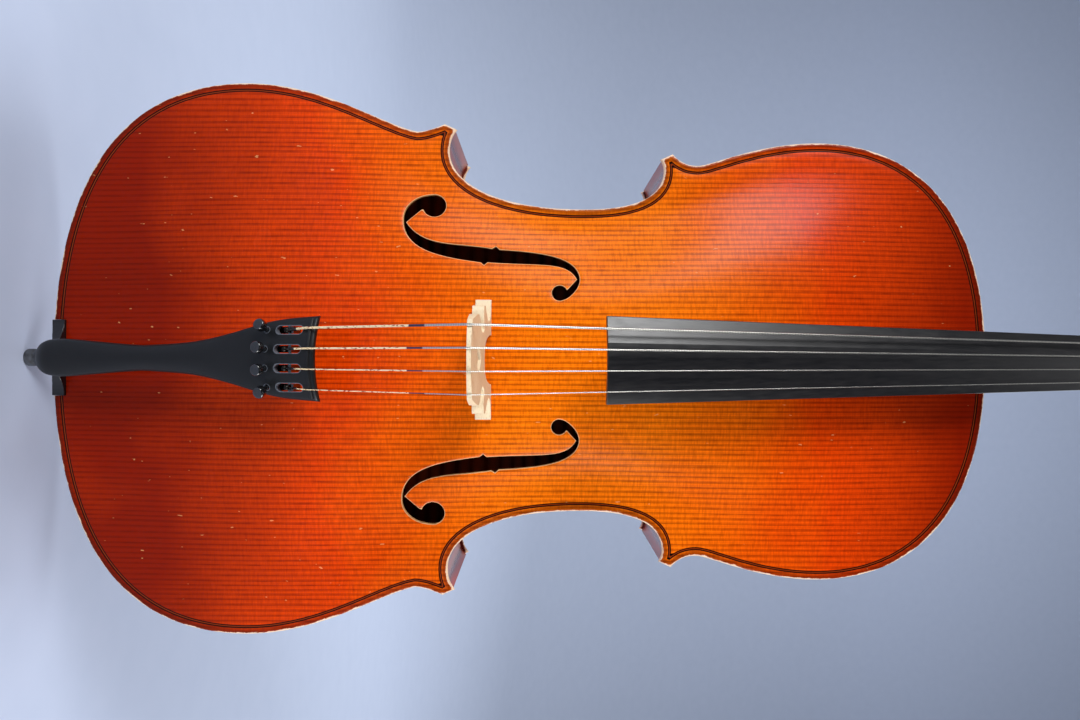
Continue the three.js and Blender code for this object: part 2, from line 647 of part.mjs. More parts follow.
function buildFingerboard() {
  const board = shapedBlock(10, 2, (across, through, share) => {
    const place = mix(FINGERBOARD_END_ALONG, NUT_ALONG - GAP, share);
    const half = boardHalfWidth(place);
    const ridge = mix(BEVEL_RIDGE_AT_END, BEVEL_RIDGE_AT_NUT, boardShare(place));
    const x = across < 0.3 ? mix(-half, ridge, across / 0.3) : mix(ridge, half, (across - 0.3) / 0.7);
    const rise = through < 0.5 ? boardSurface(x, place) : boardGlueRise(place);
    return [x, outFromEdge(rise), place];
  });
  addPiece('fingerboard', lifted(board), ...EBONY);
}

const nutRise = (x) => FINGERBOARD_NUT_RISE + NUT_STEP - crownDrop(x);
const NUT_BASE_RISE = boardGlueRise(NUT_ALONG);

function buildNut() {
  const nut = shapedBlock(6, 1, (across, through, share) => {
    const x = (across - 0.5) * NUT_WIDTH;
    const rise = through < 0.5 ? nutRise(x) : NUT_BASE_RISE;
    return [x, outFromEdge(rise), mix(NUT_ALONG, NUT_ALONG + NUT_LENGTH, share)];
  });
  addPiece('nut', lifted(nut), ...EBONY);
}

// The pegbox has its own frame: its front edge starts behind the nut, Z runs towards the scroll and
// Y into the wood.
const PEGBOX_START = NUT_ALONG + NUT_LENGTH;
const PEGBOX_FRONT = outFromEdge(NUT_BASE_RISE) + GAP;

function toPegbox(geometry) {
  return geometry.rotateX(-PEGBOX_LEAN).translate(0, PEGBOX_FRONT, PEGBOX_START);
}

function pegboxPoint(x, depth, place) {
  const point = new THREE.Vector3(x, depth, place);
  point.applyAxisAngle(new THREE.Vector3(1, 0, 0), -PEGBOX_LEAN);
  return point.add(new THREE.Vector3(0, PEGBOX_FRONT, PEGBOX_START));
}

const pegboxShare = (place) => place / PEGBOX_LENGTH;
const pegboxHalfWidth = (place) => mix(PEGBOX_WIDTH_AT_NUT, PEGBOX_WIDTH_AT_SCROLL, pegboxShare(place)) / 2;
const pegboxDepth = (place) => mix(PEGBOX_DEPTH_AT_NUT, PEGBOX_DEPTH_AT_SCROLL, pegboxShare(place));
const pegDepth = (place) => (pegboxDepth(place) - PEGBOX_FLOOR) / 2 + 2;
const scrollCentre = PEGBOX_LENGTH + SCROLL_RADIUS - 8;

// The pegbox's lower end is cut square to the neck's shaft, which leans less than the pegbox.
const NECK_LEAN = Math.atan(boardGlueRise(0) - boardGlueRise(1));
const shoulderPlace = (depth) => depth * Math.tan(PEGBOX_LEAN - NECK_LEAN);

function pegboxSolid() {
  const outer = shapedBlock(1, 1, (across, through, share) => {
    const place = mix(shoulderPlace(through * PEGBOX_DEPTH_AT_NUT), scrollCentre, share);
    const depth = through * mix(PEGBOX_DEPTH_AT_NUT, pegboxDepth(scrollCentre), share);
    return [(across - 0.5) * 2 * pegboxHalfWidth(place), depth, place];
  });
  const cavity = shapedBlock(1, 1, (across, through, share) => {
    const place = mix(CAVITY_START, CAVITY_END, share);
    const depth = through < 0.5 ? -5 : pegboxDepth(place) - PEGBOX_FLOOR;
    return [(across - 0.5) * 2 * (pegboxHalfWidth(place) - PEGBOX_WALL), depth, place];
  });
  const discs = SCROLL_TURNS.map(({ radius, halfWidth }) => {
    const disc = rod(radius, -halfWidth, halfWidth, 20).rotateY(Math.PI / 2);
    return solidOf(toPegbox(disc.translate(0, SCROLL_CENTRE_DEPTH, scrollCentre)));
  });
  const holes = Object.entries(PEG_PLACES).map(([name, place]) => solidOf(toPegbox(pegHole(name, place))));
  const box = solidOf(toPegbox(outer)).add(joined(discs));
  return box.subtract(solidOf(toPegbox(cavity))).subtract(joined(holes));
}

function buildNeck() {
  const start = BODY_LENGTH - MORTISE_DEPTH;
  const end = PEGBOX_START + SHAFT_INTO_PEGBOX;
  const straightFrom = PEGBOX_START - NECK_STRAIGHT;
  // The last of the four cells keeps one section, so that a hook slides along it to the shoulders.
  const shaft = shapedBlock(6, 4, (across, through, share) => {
    const place = share < 1 ? mix(start, straightFrom, share / 0.75) : end;
    const sectionPlace = place < straightFrom ? place : end;
    const half = Math.min(boardHalfWidth(sectionPlace), HEEL_FRONT_HALF) - GAP;
    const x = -half * Math.cos(Math.PI * across);
    const along = (sectionPlace - start) / (end - start);
    const thickness = mix(NECK_THICKNESS_AT_HEEL, NECK_THICKNESS_AT_NUT, along);
    const front = outFromEdge(boardGlueRise(place)) + GAP;
    const belly = NECK_SIDE_FLAT + (thickness - NECK_SIDE_FLAT) * Math.sin(Math.PI * across);
    return [x, front + (through < 0.5 ? 0 : belly), place];
  });
  const glueAt = (place) => outFromEdge(boardGlueRise(place)) + GAP;
  const heelSide = new THREE.Shape();
  heelSide.moveTo(start, glueAt(start));
  heelSide.lineTo(BODY_LENGTH + 100, glueAt(BODY_LENGTH + 100));
  heelSide.lineTo(BODY_LENGTH + 100, glueAt(BODY_LENGTH + 100) + 12);
  heelSide.bezierCurveTo(BODY_LENGTH + 45, glueAt(BODY_LENGTH) + 40,
    BODY_LENGTH + 13, glueAt(BODY_LENGTH) + 55, BODY_LENGTH + 13, INNER_FACE - GAP);
  heelSide.lineTo(start, INNER_FACE - GAP);
  const heelBlank = solidOf(slabAlongX(heelSide, 80));
  const heel = heelBlank.intersect(solidOf(heelTaper(0, start, BODY_LENGTH + 110)));
  const neck = solidOf(shaft).add(heel).add(pegboxSolid());
  addPiece('neck', lifted(geometryOf(neck)), ...MAPLE);
}

// ---- Pegs and the turns of string on them -------------------------------------------------------

const headSide = (name) => Math.sign(SIDE[name]);

// A peg lies across the pegbox; its profile runs from the tip to the head's end of the shaft.
function pegRadius(x, place) {
  const half = pegboxHalfWidth(place);
  return mix(PEG_RADIUS_AT_TIP, PEG_RADIUS_AT_HEAD, (x + half) / (2 * half));
}

function acrossPegbox(geometry, name, place) {
  return geometry.rotateY(headSide(name) * Math.PI / 2).translate(0, pegDepth(place), place);
}

function pegHole(name, place) {
  const half = pegboxHalfWidth(place) + 3;
  const wide = (x) => roundHole(pegRadius(x, place) + PEG_CLEARANCE, PEG_SIDES);
  const profile = [[0, -half], [wide(-half), -half], [wide(half), half], [0, half]];
  return acrossPegbox(turned(profile, PEG_SIDES), name, place);
}

function buildPegs() {
  for (const [name, place] of Object.entries(PEG_PLACES)) {
    const half = pegboxHalfWidth(place);
    const tip = -half - 2;
    const collar = half + 3;
    const neckEnd = collar + PEG_SHANK - 10;
    const shaft = turned([
      [0, tip],
      [pegRadius(tip, place), tip],
      [pegRadius(half, place), half + GAP],
      [PEG_RADIUS_AT_HEAD + 1.6, half + GAP + 0.2],
      [PEG_RADIUS_AT_HEAD + 1.6, collar + 1],
      [PEG_RADIUS_AT_HEAD - 1.2, collar + 3],
      [PEG_RADIUS_AT_HEAD - 2, neckEnd],
      [0, neckEnd],
    ], PEG_SIDES);
    const head = new THREE.SphereGeometry(1, 10, 6);
    head.scale(PEG_HEAD_WIDTH / 2, PEG_HEAD_THICKNESS / 2, PEG_HEAD_LENGTH / 2);
    head.translate(0, 0, neckEnd + PEG_HEAD_LENGTH / 2 - 4);
    const peg = solidOf(shaft).add(solidOf(head));
    addPiece(`peg_${name}`, lifted(toPegbox(acrossPegbox(geometryOf(peg), name, place))), ...EBONY);
  }
}

// The string lies on its peg as one layer of turns, near the wall on the head's side.
const WINDING_TURNS = 5;
const windingWidth = (name) => WINDING_TURNS * STRING_DIAMETERS[name] + 1;
const windingMiddle = (name) => 2 + windingWidth(name) / 2 + (Math.abs(SIDE[name]) > 1 ? 1.5 : 0);

function windingRadii(name) {
  const inner = pegRadius(windingMiddle(name) + windingWidth(name) / 2, PEG_PLACES[name]) + GAP;
  return { inner, outer: inner + STRING_DIAMETERS[name] };
}

function buildWindings() {
  for (const [name, place] of Object.entries(PEG_PLACES)) {
    const { inner, outer } = windingRadii(name);
    const [low, high] = [-0.5, 0.5].map((end) => windingMiddle(name) + end * windingWidth(name));
    const bore = roundHole(inner, PEG_SIDES);
    const ring = turned([[bore, low], [outer, low], [outer, high], [bore, high], [bore, low]], PEG_SIDES);
    addPiece(`winding_${name}`, lifted(toPegbox(acrossPegbox(ring, name, place))), ...STRING_METAL);
  }
}

// ---- Bridge -------------------------------------------------------------------------------------

function buildBridge() {
  const half = BRIDGE_SPAN / 2;
  const top = BRIDGE_TOP_RISE;
  const rightEdge = [
    [0, top - 55], [9, top - 57], [15, top - 64], [18, top - 75], [20, top - 84], [18, top - 89], [18, 6],
    [half, 4], [half, top - 93], [half - 10, top - 88], [half - 16, top - 80], [half - 17, top - 71],
    [half - 11, top - 63], [half - 7, top - 59], [half - 8, top - 53], [half - 16, top - 52],
    [half - 24, top - 54], [half - 27, top - 48], [half - 24, top - 40], [half - 17, top - 36],
    [half - 14.5, top - 30], [half - 16.5, top - 18], [half - 19.5, top - crownDrop(half - 19.5)],
    [14, top - crownDrop(14)], [0, top],
  ].map(([x, rise]) => new THREE.Vector2(x, rise));
  const shape = new THREE.Shape([...rightEdge, ...mirrored(rightEdge).slice(1, -1)]);
  const heart = new THREE.Path();
  heart.moveTo(0, top - 40);
  heart.quadraticCurveTo(9, top - 34, 8.5, top - 27);
  heart.quadraticCurveTo(4, top - 21, 0, top - 27);
  heart.quadraticCurveTo(-4, top - 21, -8.5, top - 27);
  heart.quadraticCurveTo(-9, top - 34, 0, top - 40);
  shape.holes.push(new THREE.Path(heart.getPoints(3)));
  const [thick, thin] = [BRIDGE_FOOT_THICKNESS, BRIDGE_TOP_THICKNESS];
  const blank = prismAlongZ(shape, 0, thick);
  blank.rotateX(Math.PI).translate(0, -EDGE_PLANE, BRIDGE_ALONG + thick / 2);
  const backFace = BRIDGE_ALONG - thick / 2;
  const wedge = new THREE.Shape([
    new THREE.Vector2(backFace, -EDGE_PLANE + 40),
    new THREE.Vector2(backFace, -EDGE_PLANE - 25),
    new THREE.Vector2(backFace + 1.5, -EDGE_PLANE - top - 5),
    new THREE.Vector2(backFace + 1.5 + thin, -EDGE_PLANE - top - 5),
    new THREE.Vector2(backFace + thick, -EDGE_PLANE - 30),
    new THREE.Vector2(backFace + thick, -EDGE_PLANE + 40),
  ]);
  const body = solidOf(blank).intersect(solidOf(slabAlongX(wedge, BRIDGE_SPAN + 20)));
  const fitted = body.subtract(solidOf(archedSheet(-1, GAP, EDGE_PLANE)));
  addPiece('bridge', lifted(geometryOf(fitted)), ...BRIDGE_MAPLE);
}

// ---- Tailpiece ----------------------------------------------------------------------------------

// The tailpiece has its own frame: Y stands out from its top surface and Z runs down to its tip.
const TAILPIECE_SLOPE = Math.asin((TAILPIECE_FRET_RISE - TAILPIECE_TIP_RISE) / TAILPIECE_LENGTH);
const TAILPIECE_FRAME = new THREE.Matrix4().makeBasis(
  new THREE.Vector3(1, 0, 0),
  new THREE.Vector3(0, -Math.cos(TAILPIECE_SLOPE), -Math.sin(TAILPIECE_SLOPE)),
  new THREE.Vector3(0, Math.sin(TAILPIECE_SLOPE), -Math.cos(TAILPIECE_SLOPE)),
);
TAILPIECE_FRAME.setPosition(
  0,
  outFromEdge(TAILPIECE_FRET_RISE),
  TAILPIECE_TIP_ALONG + TAILPIECE_LENGTH * Math.cos(TAILPIECE_SLOPE),
);

const ontoTailpiece = (geometry) => geometry.applyMatrix4(TAILPIECE_FRAME);
const tailPoint = (x, up, place) => new THREE.Vector3(x, up, place).applyMatrix4(TAILPIECE_FRAME);

// Half the tailpiece's width at places down from its fret end, and how far its edges drop.
const TAILPIECE_HALF_WIDTHS = [
  [0, 30.8], [24, 28.9], [41, 26], [66, 19], [99, 12.5], [133, 10], [152, 10], [195, 13.3],
  [214, 14.6], [224, 14], [230, 12.5], [235, 9.4], [TAILPIECE_LENGTH, 4],
];
const tailHalfWidth = (place) => valueAt(TAILPIECE_HALF_WIDTHS, place);
const tailEdgeDrop = (place) => {
  const neckCrown = TAILPIECE_NECK_CROWN * Math.min(1, place / 90);
  return Math.max(crownDrop(tailHalfWidth(place)), neckCrown);
};
const tailSurface = (x, place) => -tailEdgeDrop(place) * (x / tailHalfWidth(place)) ** 2;
const tunerX = (name) => SIDE[name] * (STRING_SPREAD_AT_TAILPIECE / 3 - 0.9);
const sideways = (name) => Math.asin(tunerX(name) / PLAYING_RADIUS);

// Places a tuner's part, drawn standing up the Y axis, square to the crowned surface.
function atTuner(geometry, name) {
  const x = tunerX(name);
  const level = tailSurface(x, TUNER_PLACE);
  return ontoTailpiece(geometry.rotateZ(-sideways(name)).translate(x, level, TUNER_PLACE));
}

function racetrack(centre, start, length, width) {
  const radius = width / 2;
  const slot = new THREE.Shape();
  slot.absarc(centre, start + radius, radius, Math.PI, 2 * Math.PI);
  slot.absarc(centre, start + length - radius, radius, 0, Math.PI);
  return new THREE.Shape(slot.getPoints(3));
}

function buildTailpiece() {
  const places = TAILPIECE_HALF_WIDTHS.map(([place]) => place);
  const shell = shapedBlock(6, places.length - 1, (across, through, share) => {
    const place = places[Math.round(share * (places.length - 1))];
    const x = (across - 0.5) * 2 * tailHalfWidth(place);
    return [x, tailSurface(x, place) - (through < 0.5 ? TAILPIECE_SHELL : 0), place];
  });
  const ridge = shapedBlock(6, 1, (across, through, share) => {
    const x = (across - 0.5) * 2 * (tailHalfWidth(0) - 1.5);
    const place = TAILPIECE_FRET - 1 + 2 * share;
    return [x, tailSurface(x, place) + (through < 0.5 ? -1 : TAILPIECE_FRET_HEIGHT), place];
  });
  const lugs = [-1, 0, 1].map((side) => {
    const x = side * STRING_SPREAD_AT_TAILPIECE / 3 * 0.94;
    const [low, high] = [-LEVER_PIN_DEPTH - LEVER_PIN_RADIUS - 2, -TAILPIECE_SHELL + 1 - crownDrop(x + 1.5)];
    return solidOf(boxBetween([x - 1.5, low, LEVER_PIN_PLACE - 4], [x + 1.5, high, LEVER_PIN_PLACE + 4]));
  });
  const slots = STRING_NAMES.map((name) => {
    const shape = racetrack(tunerX(name), SLOT_START, SLOT_LENGTH, SLOT_WIDTH);
    return solidOf(slabAlongY(shape, -20, 10));
  });
  const sockets = STRING_NAMES.map((name) => {
    const wide = roundHole(TUNER_STEM_RADIUS + GAP, 12);
    return solidOf(rod(wide, -14, 8, 12).rotateX(-Math.PI / 2).rotateZ(-sideways(name))
      .translate(tunerX(name), tailSurface(tunerX(name), TUNER_PLACE), TUNER_PLACE));
  });
  const pinHole = solidOf(leverPin(GAP));
  const whole = joined([solidOf(shell), solidOf(ridge), ...lugs]);
  const cut = whole.subtract(joined([...slots, ...sockets, pinHole]));
  addPiece('tailpiece', lifted(ontoTailpiece(geometryOf(cut))), ...COMPOSITE);
  addPiece('lever_pin', lifted(ontoTailpiece(leverPin(0))), ...STEEL);
}

function leverPin(grow) {
  const half = STRING_SPREAD_AT_TAILPIECE / 2 + LEVER_WIDTH / 2 + grow;
  const radius = grow > 0 ? roundHole(LEVER_PIN_RADIUS + grow, 12) : LEVER_PIN_RADIUS;
  return rod(radius, -half, half, 12).rotateY(Math.PI / 2).translate(0, -LEVER_PIN_DEPTH, LEVER_PIN_PLACE);
}

function buildTuners() {
  for (const name of STRING_NAMES) {
    const reach = -TAILPIECE_SHELL - 2.5;
    const screw = turned([
      [0, reach],
      [TUNER_STEM_RADIUS, reach],
      [TUNER_STEM_RADIUS, TUNER_PROUD - TUNER_KNOB_HEIGHT],
      [TUNER_KNOB_RADIUS - 0.6, TUNER_PROUD - TUNER_KNOB_HEIGHT],
      [TUNER_KNOB_RADIUS, TUNER_PROUD - TUNER_KNOB_HEIGHT + 0.6],
      [TUNER_KNOB_RADIUS, TUNER_PROUD - 0.6],
      [TUNER_KNOB_RADIUS - 0.6, TUNER_PROUD],
      [0, TUNER_PROUD],
    ], 16).rotateX(-Math.PI / 2);
    addPiece(`tuner_screw_${name}`, lifted(atTuner(screw, name)), ...BLACK_METAL);
    addPiece(`tuner_lever_${name}`, lifted(ontoTailpiece(geometryOf(leverSolid(name)))), ...BLACK_METAL);
  }
}

// An angled lever: its tail lies under the screw and its forked end stands in the string's slot.
function leverSolid(name) {
  const x = tunerX(name);
  const surface = tailSurface(x, FORK_PLACE);
  const pinLevel = -LEVER_PIN_DEPTH;
  const tailTop = surface - TAILPIECE_SHELL - 3.2;
  const side = new THREE.Shape([
    [FORK_PLACE - 0.8, pinLevel - 1.6],
    [FORK_PLACE - 0.8, surface + 1.4],
    [FORK_PLACE + 0.8, surface + 1.4],
    [FORK_PLACE + 0.8, pinLevel + 1.2],
    [LEVER_PIN_PLACE, pinLevel + 2.6],
    [LEVER_PIN_PLACE + 4, Math.min(pinLevel + 1.2, tailTop)],
    [TUNER_PLACE + 3, tailTop],
    [TUNER_PLACE + 3, tailTop - 1.8],
    [LEVER_PIN_PLACE + 3, pinLevel - 2.6],
  ].map(([place, up]) => new THREE.Vector2(place, up)));
  const blank = solidOf(slabAlongX(side, LEVER_WIDTH, x));
  const grooveHalf = STRING_DIAMETERS[name] / 2 + GAP;
  const grooveFloor = surface + stringStartHeight - STRING_DIAMETERS[name] / 2 - 1.9;
  const grooveX = stringXAtFork(name);
  const groove = boxBetween(
    [grooveX - grooveHalf, grooveFloor, FORK_PLACE - 3],
    [grooveX + grooveHalf, 9, FORK_PLACE + 3],
  );
  return blank.subtract(solidOf(groove)).subtract(solidOf(leverPin(GAP)));
}

// ---- Strings ------------------------------------------------------------------------------------

// A string's middle line starts at its ball, just below the top of the tailpiece.
const stringStartHeight = -0.4;

function stringXAtFork(name) {
  const share = (BALL_PLACE - FORK_PLACE) / (BALL_PLACE - TAILPIECE_FRET - 1);
  return mix(tunerX(name), SIDE[name] * STRING_SPREAD_AT_TAILPIECE / 3, share);
}

function buildStrings() {
  for (const name of STRING_NAMES) {
    const radius = STRING_DIAMETERS[name] / 2;
    const clear = radius + GAP;
    const ballX = tunerX(name);
    const fretX = SIDE[name] * STRING_SPREAD_AT_TAILPIECE / 3;
    const bridgeX = SIDE[name] * STRING_SPREAD_AT_BRIDGE / 3;
    const nutX = SIDE[name] * STRING_SPREAD_AT_NUT / 3;
    const ball = tailPoint(ballX, tailSurface(ballX, BALL_PLACE) + stringStartHeight, BALL_PLACE);
    const overFret = (place) => {
      const level = tailSurface(fretX, TAILPIECE_FRET) + TAILPIECE_FRET_HEIGHT + clear + 0.1;
      return tailPoint(fretX, level, place);
    };
    const bridgeLevel = outFromEdge(BRIDGE_TOP_RISE - crownDrop(bridgeX) + clear);
    const bridgeBack = BRIDGE_ALONG - BRIDGE_FOOT_THICKNESS / 2 + 1.3;
    const nutLevel = outFromEdge(nutRise(nutX) + clear + 0.2);
    const place = PEG_PLACES[name];
    const windingX = headSide(name) * windingMiddle(name);
    const end = pegboxPoint(windingX, pegDepth(place) - windingRadii(name).outer - clear, place);
    const path = [
      ball,
      overFret(TAILPIECE_FRET + 1),
      overFret(TAILPIECE_FRET - 1.4),
      new THREE.Vector3(bridgeX, bridgeLevel, bridgeBack),
      new THREE.Vector3(bridgeX, bridgeLevel, bridgeBack + BRIDGE_TOP_THICKNESS),
      new THREE.Vector3(nutX, nutLevel, NUT_ALONG),
      new THREE.Vector3(nutX, nutLevel, NUT_ALONG + NUT_LENGTH),
      end,
    ];
    const bead = new THREE.SphereGeometry(BALL_RADIUS, 8, 6).translate(ball.x, ball.y, ball.z);
    const line = solidOf(cordAlong(path, radius)).add(solidOf(bead));
    addPiece(`string_${name}`, lifted(geometryOf(line)), ...STRING_METAL);
  }
}

// ---- Saddle, tailcord and endpin ----------------------------------------------------------------

function buildSaddle() {
  const half = SADDLE_WIDTH / 2;
  const front = new THREE.Shape();
  front.moveTo(-half, 0);
  front.lineTo(half, 0);
  front.lineTo(half, PLATE_THICKNESS + 2);
  front.quadraticCurveTo(half * 0.8, PLATE_THICKNESS + 1, half * 0.45, PLATE_THICKNESS + SADDLE_RISE);
  front.lineTo(-half * 0.45, PLATE_THICKNESS + SADDLE_RISE);
  front.quadraticCurveTo(-half * 0.8, PLATE_THICKNESS + 1, -half, PLATE_THICKNESS + 2);
  const block = prismAlongZ(front, 0, SADDLE_DEPTH, 4)
    .rotateX(Math.PI).translate(0, -INNER_FACE, SADDLE_DEPTH);
  addPiece('saddle', lifted(block), ...EBONY);
}

function buildTailcord() {
  const clear = TAILCORD_RADIUS + GAP;
  const loop = PLUG_GROOVE_RADIUS + clear;
  const x = TAILCORD_SPREAD;
  const crest = outFromEdge(SADDLE_RISE + clear);
  const underside = tailSurface(x, TAILCORD_PLACE) - TAILPIECE_SHELL;
  const underTip = tailPoint(x, underside - clear, TAILCORD_PLACE);
  const bend = clear + GAP;
  const strand = [
    underTip,
    new THREE.Vector3(x, crest, SADDLE_DEPTH),
    new THREE.Vector3(x, crest - GAP, 0.4),
    new THREE.Vector3(x, outFromEdge(SADDLE_RISE + 0.8 * bend), -0.8 * bend),
    new THREE.Vector3(x, outFromEdge(SADDLE_RISE), -bend),
    new THREE.Vector3(mix(x, loop, 0.3), -INNER_FACE + 18, -bend),
    new THREE.Vector3(mix(x, loop, 0.75), -18, 0.2),
  ];
  const turn = [];
  for (let step = 0; step <= 8; step += 1) {
    const angle = Math.PI * step / 8;
    turn.push(new THREE.Vector3(loop * Math.cos(angle), loop * Math.sin(angle), 0.5));
  }
  const other = strand.map((point) => new THREE.Vector3(-point.x, point.y, point.z)).reverse();
  addPiece('tailcord', lifted(cordAlong([...strand, ...turn, ...other], TAILCORD_RADIUS)), ...CORD);
}

function buildEndpin() {
  const bore = roundHole(ROD_RADIUS + GAP, 20);
  const ferruleTop = -PLUG_OUT - GAP;
  const plug = turned([
    [bore, -PLUG_OUT],
    [PLUG_RADIUS - 1.5, -PLUG_OUT],
    [PLUG_RADIUS + 0.5, -9],
    [PLUG_FLANGE_RADIUS, -7.5],
    [PLUG_FLANGE_RADIUS, -2.5],
    [PLUG_GROOVE_RADIUS, -1.2],
    [PLUG_GROOVE_RADIUS, OVERHANG - 0.6],
    [PLUG_RADIUS, OVERHANG - 0.4],
    [PLUG_RADIUS - 1, PLUG_IN],
    [bore, PLUG_IN],
    [bore, -PLUG_OUT],
  ]);
  addPiece('endpin_plug', lifted(plug), ...EBONY);

  const ferruleLow = ferruleTop - FERRULE_LENGTH;
  const screwAlong = (ferruleTop + ferruleLow) / 2;
  const ferrule = turned([
    [bore, ferruleLow],
    [FERRULE_RADIUS - 1, ferruleLow],
    [FERRULE_RADIUS, ferruleLow + 1],
    [FERRULE_RADIUS, ferruleTop],
    [bore, ferruleTop],
    [bore, ferruleLow],
  ]);
  const tapped = rod(roundHole(THUMB_SCREW_RADIUS + GAP, 12), 3, 20, 12)
    .rotateY(Math.PI / 2).translate(0, 0, screwAlong);
  addPiece('endpin_ferrule', lifted(geometryOf(solidOf(ferrule).subtract(solidOf(tapped)))), ...STEEL);

  const knob = FERRULE_RADIUS + 3;
  const thumbScrew = turned([
    [0, ROD_RADIUS + GAP],
    [THUMB_SCREW_RADIUS, ROD_RADIUS + GAP],
    [THUMB_SCREW_RADIUS, knob],
    [6, knob],
    [7, knob + 1],
    [7, knob + 6],
    [6, knob + 7],
    [0, knob + 7],
  ], 12).rotateY(Math.PI / 2).translate(0, 0, screwAlong);
  addPiece('endpin_thumb_screw', lifted(thumbScrew), ...BLACK_METAL);

  const rodFoot = RUBBER_LENGTH - RUBBER_SOCKET + GAP;
  addPiece('endpin_rod', rod(ROD_RADIUS, rodFoot, rodFoot + ROD_LENGTH, 20), ...STEEL);
  const socket = roundHole(ROD_RADIUS + GAP, 20);
  addPiece('rubber_tip', turned([
    [0, 0],
    [RUBBER_RADIUS - 1, 0],
    [RUBBER_RADIUS, 1],
    [RUBBER_RADIUS, RUBBER_LENGTH - 1],
    [RUBBER_RADIUS - 0.6, RUBBER_LENGTH],
    [socket, RUBBER_LENGTH],
    [socket, RUBBER_LENGTH - RUBBER_SOCKET],
    [0, RUBBER_LENGTH - RUBBER_SOCKET],
  ]), ...RUBBER);
}

buildPlates();
buildRibs();
buildBlocks();
buildLinings();
buildInside();
buildNeck();
buildFingerboard();
buildNut();
buildPegs();
buildWindings();
buildBridge();
buildTailpiece();
buildTuners();
buildStrings();
buildSaddle();
buildTailcord();
buildEndpin();

export default group;
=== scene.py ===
"""The looks of a full-size cello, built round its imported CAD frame.

Shapes are worked out in millimetres, with X across, Y into the body and Z along it from the body's lower
edge, and are turned into the frame's metres by piece(). A rise is a height out from the top's edge plane.
"""

import math

import bmesh
import bpy
import numpy as np
from mathutils import Matrix, Vector
from mathutils.geometry import delaunay_2d_cdt


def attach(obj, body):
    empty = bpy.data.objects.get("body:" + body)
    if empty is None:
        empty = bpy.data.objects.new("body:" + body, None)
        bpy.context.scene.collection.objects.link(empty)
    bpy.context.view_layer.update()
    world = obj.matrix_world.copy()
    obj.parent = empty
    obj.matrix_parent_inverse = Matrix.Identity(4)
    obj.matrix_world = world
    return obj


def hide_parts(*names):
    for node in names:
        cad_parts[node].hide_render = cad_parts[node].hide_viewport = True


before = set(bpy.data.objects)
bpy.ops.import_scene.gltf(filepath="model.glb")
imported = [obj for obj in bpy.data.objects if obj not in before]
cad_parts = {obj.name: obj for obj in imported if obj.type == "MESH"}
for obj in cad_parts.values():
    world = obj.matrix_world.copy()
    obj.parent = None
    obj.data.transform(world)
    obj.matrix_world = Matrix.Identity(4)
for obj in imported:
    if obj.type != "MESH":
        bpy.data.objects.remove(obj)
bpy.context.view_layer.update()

# ---- Sizes, as in the CAD ---------------------------------------------------------------------

FOOT_TO_BODY = 62.0
BODY = 755.0
LOWER = 446.4 / 2
WAIST = 244.4 / 2
UPPER = 353.6 / 2
LOWER_CORNER = 381.6 / 2
UPPER_CORNER = 334.6 / 2
INNER_FACE = 59.0
PLATE = 4.5
EDGE_PLANE = INNER_FACE + PLATE
ARCH = 25.0
EDGE_MARGIN = 9.0
OVERHANG = 3.0
RIB_WALL = 1.6
GAP = 0.3
BRIDGE_ALONG = BODY - 0.5364 * BODY
BRIDGE_TOP = 113.7
CROWN = 62.0
NUT_ALONG = BODY + 280
BOARD_LENGTH = 594.0
BOARD_END = NUT_ALONG - BOARD_LENGTH
NUT_LENGTH = 7.0
NUT_WIDTH = 31.5
NUT_HEIGHT = 1.3  # over the board
BOARD_END_WIDTH = 62.7
# The crown of the board over the edge plane at each end, and the thickness of its edges.
BOARD_RISE_AT_END = 90.0
BOARD_RISE_AT_NUT = -14.5
BOARD_EDGE = 6
# The ridge beside the flat under the lowest string, from the middle.
FLAT_AT_END = -12.3
FLAT_AT_NUT = -5.5
PEGBOX_START = NUT_ALONG + NUT_LENGTH
PEGBOX_LEAN = math.radians(17)
PEGBOX_LENGTH = 146.0
PEGBOX_WALL = 8
PEGBOX_FLOOR = 10
SCROLL_CENTRE = PEGBOX_LENGTH + 24
SCROLL_DEPTH = 20.0
TAIL_LENGTH = 238.6
TUNER_PLACE = 38.0
SIDES = {"c": -1.5, "g": -0.5, "d": 0.5, "a": 1.5}
THICKNESS = {"c": 1.7, "g": 1.3, "d": 0.9, "a": 0.7}
PEG_PLACES = {"c": 24.0, "a": 50.0, "g": 84.0, "d": 110.0}

INTO_FRAME = Matrix.Scale(0.001, 4) @ Matrix.Translation((0, 0, FOOT_TO_BODY))


def mix(a, b, share):
    return a + (b - a) * share


def crown_drop(x):
    return CROWN - math.sqrt(CROWN**2 - x**2)


# ---- Lines ------------------------------------------------------------------------------------


def curve(points, steps):
    """A Bezier curve of any degree, without its first point."""
    line = []
    for step in range(1, steps + 1):
        level = [np.array(p, float) for p in points]
        while len(level) > 1:
            level = [mix(a, b, step / steps) for a, b in zip(level, level[1:])]
        line.append(level[0])
    return line


def arc(centre, radius, start, end, steps):
    angles = np.radians(np.linspace(start, end, steps + 1))
    return [np.array((centre[0] + radius * math.cos(a), centre[1] + radius * math.sin(a))) for a in angles]


def flowing(points, steps):
    """A smooth line through points (Catmull-Rom), ends kept."""
    points = [np.array(p, float) for p in points]
    padded = [2 * points[0] - points[1], *points, 2 * points[-1] - points[-2]]
    line = [points[0]]
    for a, b, c, d in zip(padded, padded[1:], padded[2:], padded[3:]):
        for step in range(1, steps + 1):
            t = step / steps
            line.append(0.5 * (2 * b + (c - a) * t + (2 * a - 5 * b + 4 * c - d) * t**2
                               + (3 * b - a - 3 * c + d) * t**3))
    return line


def mirrored(line):
    return [np.array((-p[0], p[1])) for p in reversed(line)]


